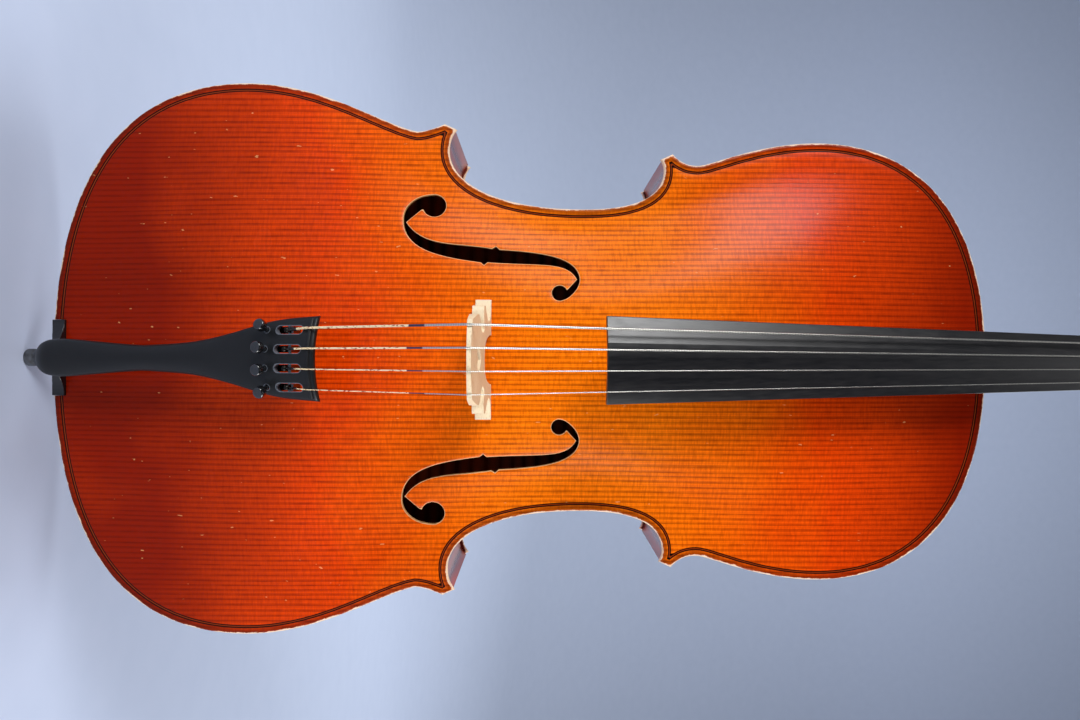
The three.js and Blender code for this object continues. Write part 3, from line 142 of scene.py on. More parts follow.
def inset(line, distance):
    """A run moved into the body, square to its own direction."""
    moved = []
    for i, p in enumerate(line):
        way = line[min(i + 1, len(line) - 1)] - line[max(i - 1, 0)]
        way = way / np.hypot(*way)
        moved.append(p + distance * np.array((-way[1], way[0])))
    return moved


def finer(line, longest):
    """A closed line with no step longer than asked."""
    made = []
    for a, b in zip(line, line[1:] + line[:1]):
        count = max(1, math.ceil(np.hypot(*(b - a)) / longest))
        made += [mix(a, b, i / count) for i in range(count)]
    return made


def at(x, share):
    return np.array((x, share * BODY))


CORNER_CUT = np.array((-4.6, 10.0))
lower_tip, upper_tip = at(LOWER_CORNER, 0.4185), at(UPPER_CORNER, 0.6633)
lower_neck, upper_neck = at(LOWER_CORNER - 6.2, 0.3894), at(UPPER_CORNER - 9.3, 0.6901)
lower_wide, upper_wide, narrow = at(LOWER, 0.2079), at(UPPER, 0.8185), at(WAIST, 0.5669)
lower_inner, upper_inner = lower_tip + CORNER_CUT, upper_tip + CORNER_CUT * (1, -1)
lower_turn, upper_turn = at(LOWER_CORNER - 21.8, 0.4238), at(UPPER_CORNER - 13.3, 0.6539)

lower_run = [
    at(0, 0),
    *curve([at(0, 0), at(0.588 * LOWER, 0), at(LOWER, 0.0595), lower_wide], 34),
    *curve([lower_wide, at(LOWER, 0.2887), at(LOWER_CORNER - 1.4, 0.353), lower_neck], 18),
    *curve([lower_neck, at(LOWER_CORNER - 6, 0.4), lower_tip], 7),
]
waist_run = [
    lower_inner,
    *curve([lower_inner, at(LOWER_CORNER - 10.8, 0.4238), lower_turn], 6),
    *curve([lower_turn, at(LOWER_CORNER - 47.9, 0.4238), at(WAIST, 0.4742), narrow], 22),
    *curve([narrow, at(WAIST, 0.6158), at(WAIST + 7.4, 0.6539), upper_turn], 22),
    *curve([upper_turn, at(UPPER_CORNER - 8.3, 0.6539), upper_inner], 6),
]
upper_run = [
    upper_tip,
    *curve([upper_tip, at(UPPER_CORNER - 9.3, 0.674), upper_neck], 7),
    *curve([upper_neck, at(UPPER_CORNER - 9.3, 0.7052), at(UPPER, 0.7542), upper_wide], 16),
    *curve([upper_wide, at(UPPER, 0.9254), at(0.69 * UPPER, 1), at(0, 1)], 32),
]
right_side = lower_run + waist_run + upper_run
outline = right_side + mirrored(right_side)[1:-1]


def sound_hole():
    """The bass side's f, set out from the line of the bridge."""
    def f(x, up):
        return np.array((x, BRIDGE_ALONG + up))

    return [
        *curve([f(-132.8, -42.7), f(-132.3, -55), f(-124, -65.4), f(-112.5, -65.4)], 12),
        *curve([f(-112.5, -65.4), f(-84, -65.4), f(-80.5, -30), f(-76.8, -3)], 18),
        f(-74.6, -0.5),
        f(-77, 2),
        *curve([f(-77, 2), f(-74.5, 45.8), f(-79, 65.2), f(-63.6, 72.9)], 18),
        f(-55.6, 65.7),
        *arc(f(-52.6, 59.3), 6.2, 115, 366, 22),
        *curve([f(-46.4, 60), f(-47.6, 67.3), f(-57.1, 76.3), f(-65.5, 75.1)], 12),
        *curve([f(-65.5, 75.1), f(-83.8, 72.3), f(-86.3, 40.5), f(-87.7, 11.5)], 18),
        f(-90.4, 8.5),
        f(-88.4, 5.5),
        *curve([f(-88.4, 5.5), f(-93.3, -25.1), f(-88, -48.3), f(-108.9, -62.9)], 18),
        f(-119.6, -51.7),
        *arc(f(-123.5, -41.4), 9.4, -69, 188, 24),
    ]


# ---- Sheets with holes ------------------------------------------------------------------------


def from_line(points, line):
    """Distance of each point from a closed line."""
    a = np.array(line)
    way = np.roll(a, -1, 0) - a
    length = np.maximum((way**2).sum(1), 1e-12)
    nearest = []
    for block in np.array_split(points, max(1, len(points) // 1500)):
        offset = block[:, None] - a
        share = np.clip((offset * way).sum(2) / length, 0, 1)
        nearest.append(np.hypot(*np.moveaxis(offset - share[..., None] * way, 2, 0)).min(1))
    return np.concatenate(nearest)


def inside(points, line):
    a = np.array(line)
    b = np.roll(a, -1, 0)
    x, z = points[:, 0, None], points[:, 1, None]
    spans = (a[:, 1] > z) != (b[:, 1] > z)
    rise = np.where(b[:, 1] == a[:, 1], 1e-12, b[:, 1] - a[:, 1])
    return (spans & (x < (b[:, 0] - a[:, 0]) * (z - a[:, 1]) / rise + a[:, 0])).sum(1) % 2 == 1


def sheet(edge, holes, rings, hole_rings, spacing, rim_line=None):
    """A flat sheet in X and Z, with points in rings beside its edge and its holes so that the edges can
    be rounded. No operator fills an outline evenly, so this one is triangulated from its points."""
    points, edges = [], []
    for line in [edge, *holes]:
        first = len(points)
        points += line
        edges += [(first + i, first + (i + 1) % len(line)) for i in range(len(line))]
    edge_area = np.array(edge)
    low, high = edge_area.min(0), edge_area.max(0)

    loose = []
    for line, distances in [(edge, rings)] + [(hole, hole_rings) for hole in holes]:
        p = np.array(line)
        way = np.roll(p, -1, 0) - np.roll(p, 1, 0)
        side = np.stack((-way[:, 1], way[:, 0]), 1) / np.maximum(np.hypot(*way.T), 1e-9)[:, None]
        for distance in distances:
            for hand in (-1, 1):
                ring = p + side * distance * hand
                loose.append(ring[from_line(ring, line) > 0.97 * distance])
    x, z = np.meshgrid(np.arange(low[0], high[0], spacing), np.arange(low[1], high[1], spacing))
    x = x + (np.arange(z.shape[0]) % 2)[:, None] * spacing / 2
    grid = np.stack((x.ravel(), z.ravel()), 1)
    clear = from_line(grid, edge) > rings[-1] + spacing / 2
    for hole in holes:
        clear &= from_line(grid, hole) > hole_rings[-1] + spacing / 3
    loose = np.concatenate([*loose, grid[clear]])
    wanted = inside(loose, edge) & (from_line(loose, edge) > 0.97 * rings[0])
    for hole in holes:
        wanted &= ~inside(loose, hole) & (from_line(loose, hole) > 0.97 * hole_rings[0])
    flat = [Vector(p) for p in points] + [Vector(p) for p in loose[wanted]]
    spots, _, faces = delaunay_2d_cdt(flat, edges, [], 0, 1e-5)[:3]
    spots = np.array([tuple(p) for p in spots])
    middles = spots[np.array(faces)].mean(1)
    kept = inside(middles, edge)
    for hole in holes:
        kept &= ~inside(middles, hole)

    bm = bmesh.new()
    edge_layer = bm.verts.layers.float.new("from_edge")
    hole_layer = bm.verts.layers.float.new("from_hole")
    edge_far = from_line(spots, rim_line or edge)
    hole_far = np.full(len(spots), 99.0)
    for hole in holes:
        hole_far = np.minimum(hole_far, from_line(spots, hole))
    corners = []
    for spot, far, near_hole in zip(spots, edge_far, hole_far):
        corner = bm.verts.new((spot[0], 0, spot[1]))
        corner[edge_layer], corner[hole_layer] = far, near_hole
        corners.append(corner)
    for face, keep in zip(faces, kept):
        if keep:
            bm.faces.new([corners[i] for i in face])
    bmesh.ops.delete(bm, geom=[v for v in bm.verts if not v.link_faces], context="VERTS")
    return bm, edge_layer, hole_layer


def thicken(bm, outer, inner):
    """Turns a flat sheet into a solid: outer(x, z, vert) and inner(x, z, vert) give the Y of its faces."""
    lower = bm.verts[:]
    made = bmesh.ops.extrude_face_region(bm, geom=bm.faces[:])
    upper = [v for v in made["geom"] if isinstance(v, bmesh.types.BMVert)]
    for corners, level in ((lower, inner), (upper, outer)):
        for v in corners:
            v.co.y = level(v.co.x, v.co.z, v)


# ---- Solids from operators --------------------------------------------------------------------


def lofted(sections):
    """A closed skin: the first section is a face, and each next one is extruded from it."""
    bm = bmesh.new()
    ring = [bm.verts.new(p) for p in sections[0]]
    face = bm.faces.new(ring)
    for section in sections[1:]:
        made = bmesh.ops.extrude_face_region(bm, geom=[face])
        face = next(g for g in made["geom"] if isinstance(g, bmesh.types.BMFace))
        copies = {tuple(v.co): v for v in face.verts}
        ring = [copies[tuple(v.co)] for v in ring]
        for v, p in zip(ring, section):
            v.co = p
    return bm


def turned(profile, sides=40, place=Matrix.Identity(4)):
    """[radius, height] points spun about Z."""
    bm = bmesh.new()
    line = [bm.verts.new((radius, 0, height)) for radius, height in profile]
    edges = [bm.edges.new(pair) for pair in zip(line, line[1:])]
    bmesh.ops.spin(bm, geom=line + edges, axis=(0, 0, 1), cent=(0, 0, 0), angle=2 * math.pi,
                   steps=sides, use_merge=True)
    bmesh.ops.remove_doubles(bm, verts=bm.verts[:], dist=1e-4)
    bm.transform(place)
    return bm


def tube(points, radius, sides=10):
    """A round cord along a line, with its distance along kept on its points in millimetres."""
    points = [Vector(p) for p in points]
    ways = [(after - before).normalized()
            for before, after in zip([points[0], *points[:-1]], [*points[1:], points[-1]])]
    across = ways[0].orthogonal().normalized()
    sections = []
    for point, way in zip(points, ways):
        across = (across - way * across.dot(way)).normalized()
        other = way.cross(across)
        sections.append([point + radius * (across * math.cos(a) + other * math.sin(a))
                         for a in np.arange(sides) * 2 * math.pi / sides])
    bm = lofted(sections)
    layer = bm.verts.layers.float.new("along")
    reach = np.concatenate(([0], np.cumsum([(b - a).length for a, b in zip(points, points[1:])])))
    centres = np.array([tuple(p) for p in points])
    for v in bm.verts:
        v[layer] = reach[np.argmin(((centres - np.array(v.co)) ** 2).sum(1))]
    return bm


def filled(loops, depth):
    """Closed loops of (x, rise) filled as one face with holes and given a thickness along Z."""
    bm = bmesh.new()
    for loop in loops:
        corners = [bm.verts.new((x, -EDGE_PLANE - rise, 0)) for x, rise in loop]
        for pair in zip(corners, corners[1:] + corners[:1]):
            bm.edges.new(pair)
    bmesh.ops.triangle_fill(bm, use_beauty=True, use_dissolve=False, edges=bm.edges[:])
    made = bmesh.ops.extrude_face_region(bm, geom=bm.faces[:])
    upper = [v for v in made["geom"] if isinstance(v, bmesh.types.BMVert)]
    bmesh.ops.translate(bm, verts=upper, vec=(0, 0, depth))
    return bm


def joined(target, *others):
    """Adds other bmeshes to the first, keeping them as shells of one piece."""
    for other in others:
        mesh = bpy.data.meshes.new("part")
        other.to_mesh(mesh)
        other.free()
        target.from_mesh(mesh)
        bpy.data.meshes.remove(mesh)
    return target


def piece(name, bm, finishes, stands_for=(), body="root", sharp=42, rounded=0.0, segments=3):
    """Puts a finished shape into the frame, on its body."""
    bmesh.ops.remove_doubles(bm, verts=bm.verts[:], dist=1e-4)
    bmesh.ops.recalc_face_normals(bm, faces=bm.faces[:])
    bm.transform(INTO_FRAME)
    mesh = bpy.data.meshes.new(name)
    bm.to_mesh(mesh)
    bm.free()
    for finish in finishes:
        mesh.materials.append(finish)
    mesh.polygons.foreach_set("use_smooth", [True] * len(mesh.polygons))
    mesh.set_sharp_from_angle(angle=math.radians(sharp))
    made = bpy.data.objects.new(name, mesh)
    bpy.context.collection.objects.link(made)
    if rounded:
        edge = made.modifiers.new("rounded_edges", "BEVEL")
        edge.width = rounded * 0.001
        edge.segments = segments
        edge.limit_method = "ANGLE"
        edge.angle_limit = math.radians(35)
        edge.harden_normals = True
    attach(made, body)
    if stands_for:
        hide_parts(*stands_for)
    return made


# ---- Materials --------------------------------------------------------------------------------

MIX = "ShaderNodeMix"
MATH = "ShaderNodeMath"
RANGE = "ShaderNodeMapRange"
NOISE = "ShaderNodeTexNoise"
WAVE = "ShaderNodeTexWave"
STRETCH = "ShaderNodeMapping"
ATTRIBUTE = "ShaderNodeAttribute"
BUMP = "ShaderNodeBump"
COLOURS = {"out": 2, "data_type": "RGBA"}
ACROSS_X = {"out": 1, "wave_type": "BANDS", "bands_direction": "X"}
ACROSS_Z = {"out": 1, "wave_type": "BANDS", "bands_direction": "Z"}
ALONG = {"out": 2, "attribute_name": "along"}
FROM_EDGE = {"out": 2, "attribute_name": "from_edge"}
FROM_HOLE = {"out": 2, "attribute_name": "from_hole"}


def linear(hexed):
    """An sRGB hex colour as linear RGBA."""
    parts = [int(hexed[i:i + 2], 16) / 255 for i in (1, 3, 5)]
    return (*[c / 12.92 if c <= 0.04045 else ((c + 0.055) / 1.055) ** 2.4 for c in parts], 1)


def feed(tree, node, inputs):
    """Sets a node's sockets, named or in their order, and links those that come from another node."""
    for socket, value in inputs.items() if isinstance(inputs, dict) else enumerate(inputs):
        if isinstance(value, bpy.types.NodeSocket):
            tree.links.new(value, node.inputs[socket])
        else:
            node.inputs[socket].default_value = linear(value) if isinstance(value, str) else value


def add(tree, kind, inputs=(), out=0, **settings):
    """Adds a node with its settings and links, and gives one of its outputs."""
    made = tree.nodes.new(kind)
    for key, value in settings.items():
        setattr(made, key, value)
    feed(tree, made, inputs)
    return made.outputs[out]


def wave_scale(period):
    """The scale that sets a wave's lines a period apart; its phase runs 20 radians for each unit."""
    return 2 * math.pi / (20 * period)


def material(name, values):
    """A new material, its tree, its shader and its place in millimetres."""
    made = bpy.data.materials.new(name)
    made.use_nodes = True
    tree = made.node_tree
    shader = tree.nodes["Principled BSDF"]
    feed(tree, shader, values)
    place = add(tree, "ShaderNodeTexCoord", out="Object")
    mm = add(tree, STRETCH, {"Vector": place, "Scale": (1000, 1000, 1000)})
    return made, tree, shader, mm


def rim(tree, mm, colour):
    """The plates' edging: a dark red rounded rim, pale at its outside where the wood is rubbed bare and a
    painted highlight runs along the edge, and a black, brown and black line of purfling 5 to 7 mm in."""
    edge = add(tree, ATTRIBUTE, **FROM_EDGE)
    rubbed_and_lit_noise = add(tree, NOISE, {"Vector": mm, "Scale": 0.05, "Detail": 7.0, "Roughness": 0.72})
    shade = add(tree, RANGE, (edge, 3.2, 5.0, 0.62, 0.0))
    colour = add(tree, MIX, {0: shade, 6: colour, 7: "#4a1204"}, **COLOURS)
    # The pale outer edge is partly wood rubbed bare and partly a painted highlight along the rim.
    reach = add(tree, RANGE, (rubbed_and_lit_noise, 0.36, 0.72, 0.25, 2.5))
    beyond = add(tree, MATH, (reach, edge), operation="SUBTRACT")
    wear_and_painted_highlight = add(tree, RANGE, (beyond, -0.15, 0.45, 0.0, 0.85))
    colour = add(tree, MIX, {0: wear_and_painted_highlight, 6: colour, 7: "#f0d3b2"}, **COLOURS)
    outer_side = add(tree, RANGE, (edge, 4.65, 4.95))
    purfling = add(tree, RANGE, (edge, 7.15, 7.45, outer_side, 0.0))
    colour = add(tree, MIX, {0: purfling, 6: colour, 7: "#140804"}, **COLOURS)
    middle_side = add(tree, RANGE, (edge, 5.6, 5.8))
    middle = add(tree, RANGE, (edge, 6.3, 6.5, middle_side, 0.0))
    return add(tree, MIX, {0: middle, 6: colour, 7: "#7c2c0b"}, **COLOURS), wear_and_painted_highlight


def varnished_spruce():
    """Spruce split on the quarter under a red-orange oil varnish: dark winter lines along the body about
    4 mm apart, crossed by fine silk, deep red at both ends and bright orange at the waist, partly the
    varnish's own shading and partly painted fall-off of the light towards the ends."""
    made, tree, shader, mm = material("varnished_spruce", {
        "IOR": 1.5, "Specular IOR Level": 0.07, "Coat Weight": 0.02, "Coat Roughness": 0.2,
    })
    grain = add(tree, STRETCH, {"Vector": mm, "Scale": (1, 0, 0.02)})
    winter = add(tree, WAVE, {"Vector": grain, "Scale": wave_scale(4.3), "Distortion": 5.0, "Detail": 3.0,
                              "Detail Scale": 0.6}, **ACROSS_X)
    between = add(tree, WAVE, {"Vector": grain, "Scale": wave_scale(1.7), "Distortion": 4.0, "Detail": 2.0,
                               "Detail Scale": 0.5}, **ACROSS_X)
    strand = add(tree, STRETCH, {"Vector": mm, "Scale": (0.3, 0, 0.05)})
    broken = add(tree, NOISE, {"Vector": strand, "Scale": 1.0, "Detail": 4.0, "Roughness": 0.6})
    held = add(tree, RANGE, (broken, 0.3, 0.66, 0.3, 0.95))
    line = add(tree, RANGE, (winter, 0.25, 1.0, 0.0, held))
    across = add(tree, STRETCH, {"Vector": mm, "Scale": (0.09, 0, 0.55)})
    silk = add(tree, NOISE, {"Vector": across, "Scale": 1.0, "Detail": 4.0, "Roughness": 0.65})
    cloud = add(tree, NOISE, {"Vector": mm, "Scale": 0.008, "Detail": 3.0})
    # Deeper red towards both ends of the body and brighter orange at the middle: partly the varnish's own
    # shading, partly painted light that falls off towards the ends.
    along = add(tree, "ShaderNodeSeparateXYZ", {0: mm}, out=2)
    rising = add(tree, RANGE, (along, 130.0, 455.0))
    tone_and_painted_falloff = add(tree, RANGE, (along, 540.0, 800.0, rising, 0.0))
    drift = add(tree, RANGE, (cloud, 0.35, 0.65, -0.08, 0.08))
    tone_and_painted_falloff = add(tree, MATH, (tone_and_painted_falloff, drift), operation="ADD")
    deep = add(tree, RANGE, (tone_and_painted_falloff, 0.0, 0.5))
    light = add(tree, RANGE, (tone_and_painted_falloff, 0.5, 1.0))
    colour = add(tree, MIX, {0: deep, 6: "#7d1501", 7: "#dd4002"}, **COLOURS)
    colour = add(tree, MIX, {0: light, 6: colour, 7: "#ff7c08"}, **COLOURS)
    crossing = add(tree, RANGE, (silk, 0.38, 0.68, 0.0, 0.4))
    colour = add(tree, MIX, {0: crossing, 6: colour, 7: "#7a1801"}, **COLOURS)
    fine = add(tree, RANGE, (between, 0.4, 1.0, 0.0, 0.16))
    colour = add(tree, MIX, {0: fine, 6: colour, 7: "#5e1000"}, **COLOURS)
    drawn = add(tree, RANGE, (line, 0.0, 1.0, 0.0, 0.66))
    colour = add(tree, MIX, {0: drawn, 6: colour, 7: "#560c00"}, **COLOURS)
    speckle = add(tree, STRETCH, {"Vector": mm, "Scale": (0.3, 0, 0.12)})
    nick = add(tree, NOISE, {"Vector": speckle, "Scale": 1.0, "Detail": 2.0})
    struck = add(tree, RANGE, (nick, 0.715, 0.745, 0.0, 0.42))
    colour = add(tree, MIX, {0: struck, 6: colour, 7: "#f0b070"}, **COLOURS)
    colour, wear_and_painted_highlight = rim(tree, mm, colour)
    hole = add(tree, ATTRIBUTE, **FROM_HOLE)
    lip = add(tree, RANGE, (hole, 0.15, 0.55, 0.9, 0.0))
    colour = add(tree, MIX, {0: lip, 6: colour, 7: "#e3b884"}, **COLOURS)
    sheen = add(tree, RANGE, (cloud, 0.3, 0.7, 0.2, 0.28))
    rough = add(tree, MATH, (wear_and_painted_highlight, 0.25, sheen), operation="MULTIPLY_ADD")
    bump = add(tree, BUMP, {"Height": line, "Strength": 0.1, "Distance": 0.0003}, invert=True)
    feed(tree, shader, {"Base Color": colour, "Roughness": rough, "Normal": bump})
    return made


def bare_wood(name, pale, line_colour, period, roughness):
    """Unvarnished wood with straight grain."""
    made, tree, shader, mm = material(name, {"IOR": 1.5})
    grain = add(tree, STRETCH, {"Vector": mm, "Scale": (1, 0.2, 0.03)})
    lines = add(tree, WAVE, {"Vector": grain, "Scale": wave_scale(period), "Distortion": 4.0, "Detail": 2.0,
                             "Detail Scale": 0.5}, **ACROSS_X)
    mottle = add(tree, NOISE, {"Vector": mm, "Scale": 0.08, "Detail": 4.0})
    patchy = add(tree, RANGE, (mottle, 0.0, 1.0, 0.0, 0.4))
    colour = add(tree, MIX, {0: patchy, 6: pale, 7: line_colour}, **COLOURS)
    drawn = add(tree, RANGE, (lines, 0.5, 1.0, 0.0, 0.5))
    colour = add(tree, MIX, {0: drawn, 6: colour, 7: line_colour}, **COLOURS)
    rough = add(tree, RANGE, (mottle, 0.3, 0.7, roughness - 0.06, roughness + 0.06))
    bump = add(tree, BUMP, {"Height": drawn, "Strength": 0.3, "Distance": 0.0003})
    feed(tree, shader, {"Base Color": colour, "Roughness": rough, "Normal": bump})
    return made


def flamed_maple(name, along_piece, with_rim=False):
    """Maple under the same varnish: deep red-brown with a flame of lighter bars across the grain, and
    short dark pores along it."""
    made, tree, shader, mm = material(name, {
        "IOR": 1.5, "Specular IOR Level": 0.4, "Coat Weight": 0.3, "Coat Roughness": 0.15,
    })
    if along_piece:
        reach = add(tree, ATTRIBUTE, **ALONG)
        depth = add(tree, "ShaderNodeSeparateXYZ", {0: mm}, out=1)
        slant = add(tree, MATH, (depth, 0.12), operation="MULTIPLY")
        flow = add(tree, "ShaderNodeCombineXYZ", {0: slant, 1: 0.0, 2: reach})
    else:
        flow = add(tree, STRETCH, {"Vector": mm, "Scale": (0.22, 0.1, 1)})
    bars = add(tree, WAVE, {"Vector": flow, "Scale": wave_scale(13.0), "Distortion": 7.0, "Detail": 2.0,
                            "Detail Scale": 0.4}, **ACROSS_Z)
    flame = add(tree, RANGE, (bars, 0.1, 0.95))
    grain = add(tree, STRETCH, {"Vector": mm, "Scale": (1.6, 1.6, 0.12)})
    fibre = add(tree, NOISE, {"Vector": grain, "Scale": 1.0, "Detail": 2.0})
    pores = add(tree, RANGE, (fibre, 0.6, 0.75, 0.0, 0.45))
    cloud = add(tree, NOISE, {"Vector": mm, "Scale": 0.008, "Detail": 3.0})
    warm = add(tree, RANGE, (cloud, 0.35, 0.65, 0.0, 0.4))
    colour = add(tree, MIX, {0: flame, 6: "#5a1303", 7: "#a43406"}, **COLOURS)
    colour = add(tree, MIX, {0: warm, 6: colour, 7: "#b8440a"}, **COLOURS)
    colour = add(tree, MIX, {0: pores, 6: colour, 7: "#380c02"}, **COLOURS)
    if with_rim:
        colour, _ = rim(tree, mm, colour)
    rough = add(tree, RANGE, (flame, 0.0, 1.0, 0.27, 0.36))
    bump = add(tree, BUMP, {"Height": pores, "Strength": 0.12, "Distance": 0.0003})
    feed(tree, shader, {"Base Color": colour, "Roughness": rough, "Normal": bump})
    return made


def oiled_maple():
    """The neck's shaft, left without varnish where the hand runs: warm pale maple, oiled satin, with the
    body's varnish on the heel and towards the pegbox."""
    made, tree, shader, mm = material("oiled_maple", {"IOR": 1.5})
    flow = add(tree, STRETCH, {"Vector": mm, "Scale": (0.2, 0.2, 1)})
    flame = add(tree, WAVE, {"Vector": flow, "Scale": wave_scale(11.0), "Distortion": 6.0, "Detail": 2.0,
                             "Detail Scale": 0.4}, **ACROSS_Z)
    soft = add(tree, RANGE, (flame, 0.0, 1.0, 0.0, 0.45))
    grain = add(tree, STRETCH, {"Vector": mm, "Scale": (1.5, 1.5, 0.08)})
    fibre = add(tree, NOISE, {"Vector": grain, "Scale": 1.0, "Detail": 2.0})
    pores = add(tree, RANGE, (fibre, 0.58, 0.74, 0.0, 0.4))
    high = add(tree, "ShaderNodeSeparateXYZ", {0: mm}, out=2)
    past_heel = add(tree, RANGE, (high, 854.0, 882.0))
    bare = add(tree, RANGE, (high, 1048.0, 1076.0, past_heel, 0.0))
    oiled = add(tree, MIX, {0: soft, 6: "#b9743a", 7: "#d89a58"}, **COLOURS)
    stained = add(tree, MIX, {0: flame, 6: "#5a1303", 7: "#a43406"}, **COLOURS)
    colour = add(tree, MIX, {0: bare, 6: stained, 7: oiled}, **COLOURS)
    colour = add(tree, MIX, {0: pores, 6: colour, 7: "#5e2c10"}, **COLOURS)
    rough = add(tree, RANGE, (bare, 0.0, 1.0, 0.3, 0.46))
    bump = add(tree, BUMP, {"Height": pores, "Strength": 0.2, "Distance": 0.0003})
    feed(tree, shader, {"Base Color": colour, "Roughness": rough, "Normal": bump})
    return made


def ebony():
    """Polished ebony: nearly black, with slightly browner straight streaks and fine closed pores."""
    made, tree, shader, mm = material("ebony", {"IOR": 1.5})
    grain = add(tree, STRETCH, {"Vector": mm, "Scale": (0.5, 0.5, 0.01)})
    streak = add(tree, NOISE, {"Vector": grain, "Scale": 1.0, "Detail": 4.0, "Roughness": 0.6})
    brown = add(tree, RANGE, (streak, 0.35, 0.7, 0.0, 0.7))
    fibre = add(tree, STRETCH, {"Vector": mm, "Scale": (2.2, 2.2, 0.1)})
    speck = add(tree, NOISE, {"Vector": fibre, "Scale": 1.0, "Detail": 2.0})
    pores = add(tree, RANGE, (speck, 0.62, 0.72, 0.0, 0.5))
    colour = add(tree, MIX, {0: brown, 6: "#0c0c0f", 7: "#1c1a1b"}, **COLOURS)
    colour = add(tree, MIX, {0: pores, 6: colour, 7: "#050506"}, **COLOURS)
    rough = add(tree, RANGE, (streak, 0.3, 0.7, 0.3, 0.38))
    bump = add(tree, BUMP, {"Height": pores, "Strength": 0.15, "Distance": 0.0003})
    feed(tree, shader, {"Base Color": colour, "Roughness": rough, "Normal": bump})
    return made


def moulded_composite():
    """Moulded black composite with a satin skin: near-black with a fine pebble and brighter rubbed rims."""
    made, tree, shader, mm = material("moulded_composite", {"IOR": 1.5, "Specular IOR Level": 0.3})
    pebble = add(tree, NOISE, {"Vector": mm, "Scale": 1.6, "Detail": 3.0})
    cloud = add(tree, NOISE, {"Vector": mm, "Scale": 0.03, "Detail": 3.0})
    hole = add(tree, ATTRIBUTE, **FROM_HOLE)
    rubbed = add(tree, RANGE, (hole, 0.25, 0.65, 1.0, 0.0))
    colour = add(tree, MIX, {0: cloud, 6: "#090a0b", 7: "#101113"}, **COLOURS)
    colour = add(tree, MIX, {0: rubbed, 6: colour, 7: "#5b6068"}, **COLOURS)
    rough = add(tree, RANGE, (cloud, 0.3, 0.7, 0.4, 0.5))
    bump = add(tree, BUMP, {"Height": pebble, "Strength": 0.1, "Distance": 0.0002})
    feed(tree, shader, {"Base Color": colour, "Roughness": rough, "Normal": bump})
    return made


def metal(name, base, tint, roughness, brushed):
    """Metal with fine machining marks; the marks are drawn 0.4 mm wide so that they show."""
    made, tree, shader, mm = material(name, {"Metallic": 1.0})
    cut = add(tree, STRETCH, {"Vector": mm, "Scale": brushed})
    marks = add(tree, NOISE, {"Vector": cut, "Scale": 1.0, "Detail": 3.0})
    colour = add(tree, MIX, {0: marks, 6: base, 7: tint}, **COLOURS)
    rough = add(tree, RANGE, (marks, 0.3, 0.7, roughness - 0.06, roughness + 0.08))
    bump = add(tree, BUMP, {"Height": marks, "Strength": 0.05, "Distance": 0.0001})
    feed(tree, shader, {"Base Color": colour, "Roughness": rough, "Normal": bump})
    return made


def black_chrome():
    """Black-plated steel: near-black and glossy, with faint handling marks."""
    made, tree, shader, mm = material("black_chrome", {
        "IOR": 1.5, "Coat Weight": 0.6, "Coat Roughness": 0.05,
    })
    marks = add(tree, NOISE, {"Vector": mm, "Scale": 0.5, "Detail": 4.0})
    colour = add(tree, MIX, {0: marks, 6: "#040405", 7: "#0d0e11"}, **COLOURS)
    rough = add(tree, RANGE, (marks, 0.3, 0.7, 0.12, 0.22))
    bump = add(tree, BUMP, {"Height": marks, "Strength": 0.04, "Distance": 0.0001})
    feed(tree, shader, {"Base Color": colour, "Roughness": rough, "Normal": bump})
    return made


def wound_string():
    """Flat-wound steel string. Its first 8 mm from the ball are painted black as painted shadow in the
    tailpiece's slot, then cream silk with red and dark threads runs to a short dark blue band; the winding's
    turns are drawn 1.2 mm wide so that they show, each painted lighter on its crest and darker in its
    groove, a painted highlight and shade."""
    made, tree, shader, mm = material("wound_string", {})
    along = add(tree, ATTRIBUTE, **ALONG)
    phase = add(tree, MATH, (along, 5.2), operation="MULTIPLY")
    turns = add(tree, MATH, (phase,), operation="SINE")
    rise = add(tree, RANGE, (turns, -1.0, 1.0))
    silk_starts = add(tree, RANGE, (along, 8.0, 9.0))
    low_silk = add(tree, RANGE, (along, 95.4, 96.6, silk_starts, 0.0))
    high_silk = add(tree, RANGE, (along, 861.4, 862.6))
    silk = add(tree, MATH, (low_silk, high_silk), operation="MAXIMUM")
    band_starts = add(tree, RANGE, (along, 95.5, 96.5))
    band = add(tree, RANGE, (along, 107.5, 108.5, band_starts, 0.0))
    # The first 8 mm from the ball are painted black: painted shadow in the tailpiece's slot.
    painted_shadow_wrap = add(tree, RANGE, (along, 8.0, 9.0, 1.0, 0.0))
    fibre = add(tree, STRETCH, {"Vector": mm, "Scale": (1.2, 1.2, 0.35)})
    speck = add(tree, NOISE, {"Vector": fibre, "Scale": 1.0, "Detail": 2.0})
    red = add(tree, RANGE, (speck, 0.56, 0.6))
    thread = add(tree, MIX, {0: red, 6: "#dcc69c", 7: "#7a2a18"}, **COLOURS)
    # Each turn is lighter on its crest and darker in its groove: painted highlight and painted shade.
    colour = add(tree, MIX, {0: rise, 6: "#8f8d88", 7: "#c9c7c1"}, **COLOURS)
    colour = add(tree, MIX, {0: band, 6: colour, 7: "#1d1f3a"}, **COLOURS)
    colour = add(tree, MIX, {0: silk, 6: colour, 7: thread}, **COLOURS)
    colour = add(tree, MIX, {0: painted_shadow_wrap, 6: colour, 7: "#0b0b0c"}, **COLOURS)
    wound = add(tree, MATH, (silk, band), operation="MAXIMUM")
    covered = add(tree, MATH, (wound, painted_shadow_wrap), operation="MAXIMUM")
    bare = add(tree, RANGE, (covered, 0.0, 1.0, 1.0, 0.0))
    rough = add(tree, RANGE, (covered, 0.0, 1.0, 0.3, 0.75))
    bump = add(tree, BUMP, {"Height": turns, "Strength": 0.25, "Distance": 0.0001})
    feed(tree, shader, {"Base Color": colour, "Metallic": bare, "Roughness": rough, "Normal": bump})
    return made


